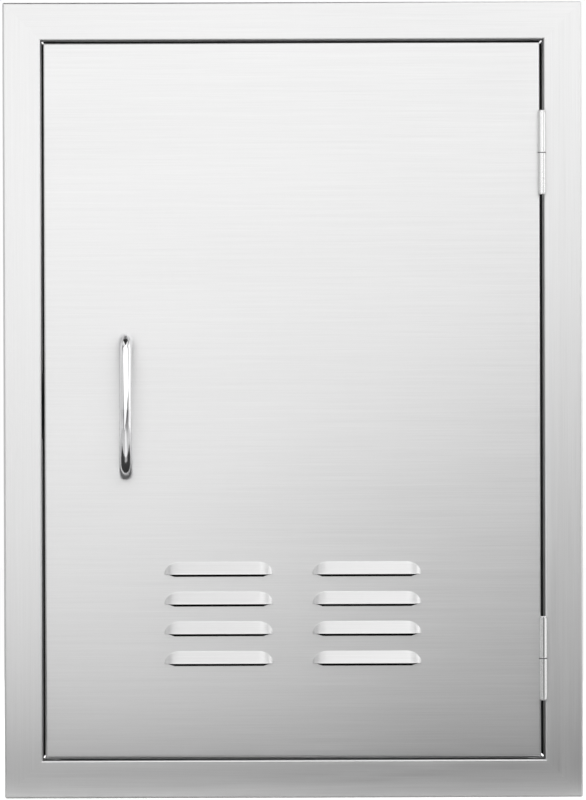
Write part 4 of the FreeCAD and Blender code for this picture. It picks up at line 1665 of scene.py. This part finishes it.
@dataclass(frozen=True)
class Panel:
    """Something flat that hangs in the studio.

    Attributes:
        name: its name.
        place: its middle, in metres.
        aim: the point that it faces, in metres.
        size: its width and height, in metres.
    """

    name: str
    place: tuple[float, float, float]
    aim: tuple[float, float, float]
    size: tuple[float, float]


@dataclass(frozen=True)
class SoftBox(Panel):
    """A studio light: a lit rectangle.

    Attributes:
        radiance: how bright it looks; white paper under it is about as bright.
        roll: how far it is turned in its own plane, in degrees.
    """

    radiance: float
    roll: float = 0.0

    def build(self) -> None:
        """Hangs the light."""
        lamp = bpy.data.lights.new(self.name, "AREA")
        lamp.shape = "RECTANGLE"
        lamp.size, lamp.size_y = self.size
        lamp.energy = self.radiance * math.pi * self.size[0] * self.size[1]
        light = in_scene(self.name, lamp)
        light.matrix_world = looking(Vector(self.place), Vector(self.aim), self.roll)
        light.visible_camera = False


@dataclass(frozen=True)
class Card(Panel):
    """A black card that only mirrors see, and that darkens a part of what they show.

    Attributes:
        taper: the width of its lower edge as a share of the upper one's.
    """

    taper: float

    def build(self) -> None:
        """Hangs the card."""
        mesh = bmesh.new()
        bmesh.ops.create_grid(mesh, x_segments=1, y_segments=1, size=0.5)
        bmesh.ops.scale(mesh, verts=mesh.verts[:], vec=Vector((*self.size, 1.0)))
        lower = [vert for vert in mesh.verts if vert.co.y < 0]
        bmesh.ops.scale(mesh, verts=lower, vec=Vector((self.taper, 1.0, 1.0)))
        stance = looking(Vector(self.place), Vector(self.aim))
        bmesh.ops.transform(mesh, matrix=stance, verts=mesh.verts[:])
        material = bpy.data.materials.new(self.name)
        graph = Graph(material)
        graph.end(graph.shader({"Base Color": grey(0.03), "Roughness": 0.9}))
        card = shown(mesh, self.name, [material])
        card.visible_camera = False
        card.visible_diffuse = False
        card.visible_shadow = False
        card.visible_transmission = False


@dataclass
class Studio:
    """Camera, lights, sky and floor.

    Attributes:
        distance: from the camera to the door's face, in metres.
        pixel: the real size of one pixel of the picture at the door's face, in millimetres.
        picture_height: the picture's height in pixels.
        sideways: how far the camera stands off the door's middle line, in metres.
        above: how far above the middle it stands, in metres.
        roll: how far the picture is turned, in degrees.
        face: where the door's face lies, in metres.
        front_glow: how bright the surround looks from the front of the object.
        back_glow: how bright it looks from behind.
    """

    distance: float = 8.0
    pixel: float = 0.702
    picture_height: int = 800
    sideways: float = -0.05
    above: float = 0.10
    roll: float = 0.17
    face: float = -0.006
    front_glow: float = 0.25
    back_glow: float = 0.06

    def camera(self) -> None:
        """Stands the camera before the door, with a long lens that the door just fills."""
        view = bpy.data.cameras.new("front_view")
        tall = MM * self.pixel * self.picture_height
        view.lens = view.sensor_width * self.distance / tall
        view.clip_end = 4 * self.distance
        eye = in_scene("front_view", view)
        place = Vector((self.sideways, self.face - self.distance, self.above))
        eye.matrix_world = looking(place, Vector((0, self.face, 0)), -self.roll)
        bpy.context.scene.camera = eye

    def sky(self) -> None:
        """A white surround to look at, which lights the front dimly and the back hardly at all."""
        world = bpy.data.worlds.new("surround")
        bpy.context.scene.world = world
        graph = Graph(world)
        way = graph.node("ShaderNodeTexCoord", output="Object")
        deep = graph.node("ShaderNodeSeparateXYZ", {}, {0: way}, "Y")
        stops = [(0.35, self.front_glow), (0.6, self.back_glow)]
        glow = graph.node("ShaderNodeValToRGB", {"stops": stops}, {0: 0.5 + 0.5 * deep})
        lit, white = (
            graph.node("ShaderNodeBackground", {}, {"Color": colour, "Strength": 1.0})
            for colour in (glow, grey(1.0))
        )
        graph.end(graph.by_view(lit, white), "World")

    def floor(self) -> None:
        """A plain pale floor under the frame, which the steel hardly mirrors."""
        mesh = bmesh.new()
        bmesh.ops.create_grid(mesh, x_segments=8, y_segments=8, size=6.0)
        bmesh.ops.translate(mesh, verts=mesh.verts[:], vec=Z * (CAD_BOX[0].z - 0.5 * MM))
        material = bpy.data.materials.new("pale_floor")
        graph = Graph(material)
        dim = graph.shader({"Base Color": grey(0.7), "Roughness": 0.9})
        pale = graph.shader(
            {
                "Base Color": grey(0.85),
                "Roughness": 0.9,
                "Emission Color": grey(1.0),
                "Emission Strength": 0.85,
            }
        )
        graph.end(graph.by_view(dim, pale))
        shown(mesh, "floor", [material])

    def lights(self) -> None:
        """Soft boxes: a parted key before the door, a parted one overhead, dimmer ones round it."""
        for light in (
            SoftBox("key_left", (-0.30, -0.9, 0.49), (-0.30, 0.0, 0.49), (0.74, 1.4), 0.98, 22.4),
            SoftBox("key_right", (0.331, -0.9, 0.78), (0.331, 0.0, 0.78), (0.565, 1.4), 1.20, 22.4),
            SoftBox("overhead_left", (-0.65, -0.45, 1.5), (-0.65, -0.44, 0.0), (0.8, 1.2), 0.65),
            SoftBox("overhead_right", (0.43, -0.45, 1.5), (0.43, -0.44, 0.0), (0.9, 1.2), 0.65),
            SoftBox("left_flank", (-0.9, -0.75, 0.0), (0.0, 0.0, -0.1), (0.5, 1.4), 0.45),
            SoftBox("right_flank", (0.95, -0.6, 0.3), (-0.1, 0.0, 0.1), (0.9, 1.6), 0.50),
            SoftBox("left_strip", (-1.3, 0.05, 0.5), (0.0, 0.05, 0.3), (1.2, 2.0), 0.6),
            SoftBox("right_strip", (1.3, 0.05, 0.5), (0.0, 0.05, 0.3), (1.2, 2.0), 0.95),
            SoftBox("low_front", (-0.08, -0.62, -0.27), (-0.08, -0.61, 1.0), (0.24, 0.64), 0.4),
            SoftBox("rear_top", (0.0, 0.9, 0.75), (0.0, 0.0, 0.25), (2.6, 1.8), 1.1),
            SoftBox("rear_key", (0.3, 2.0, 0.5), (0.0, 0.0, 0.0), (2.0, 1.5), 0.6),
        ):
            light.build()

    def cards(self) -> None:
        """Two black cards part the handle's mirror image, and one darkens the gap below the door."""
        for card in (
            Card("card_above", (-0.1, -0.11, 0.496), (-0.1, -0.02, 0.052), (0.6, 0.34), 0.14),
            Card("card_below", (-0.1, -0.205, -0.278), (-0.1, -0.205, 0.0), (1.3, 0.31), 1.0),
            Card("card_behind", (0.0, 0.022, -0.244), (0.0, 0.0, -0.244), (0.33, 0.015), 1.0),
        ):
            card.build()

    def build(self) -> None:
        """Sets the whole studio up."""
        self.camera()
        self.sky()
        self.floor()
        self.lights()
        self.cards()
        bpy.context.scene.view_settings.view_transform = "Standard"


def main() -> None:
    """Builds the studio and every sub-assembly, in the order in which they go together."""
    Studio().build()
    WallFrame().build()
    VentedDoor().build()
    BowHandle().build()
    for side in ("upper", "lower"):
        PinHinge(side).build()
    MagnetCatch().build()


if __name__ == "__main__":
    main()
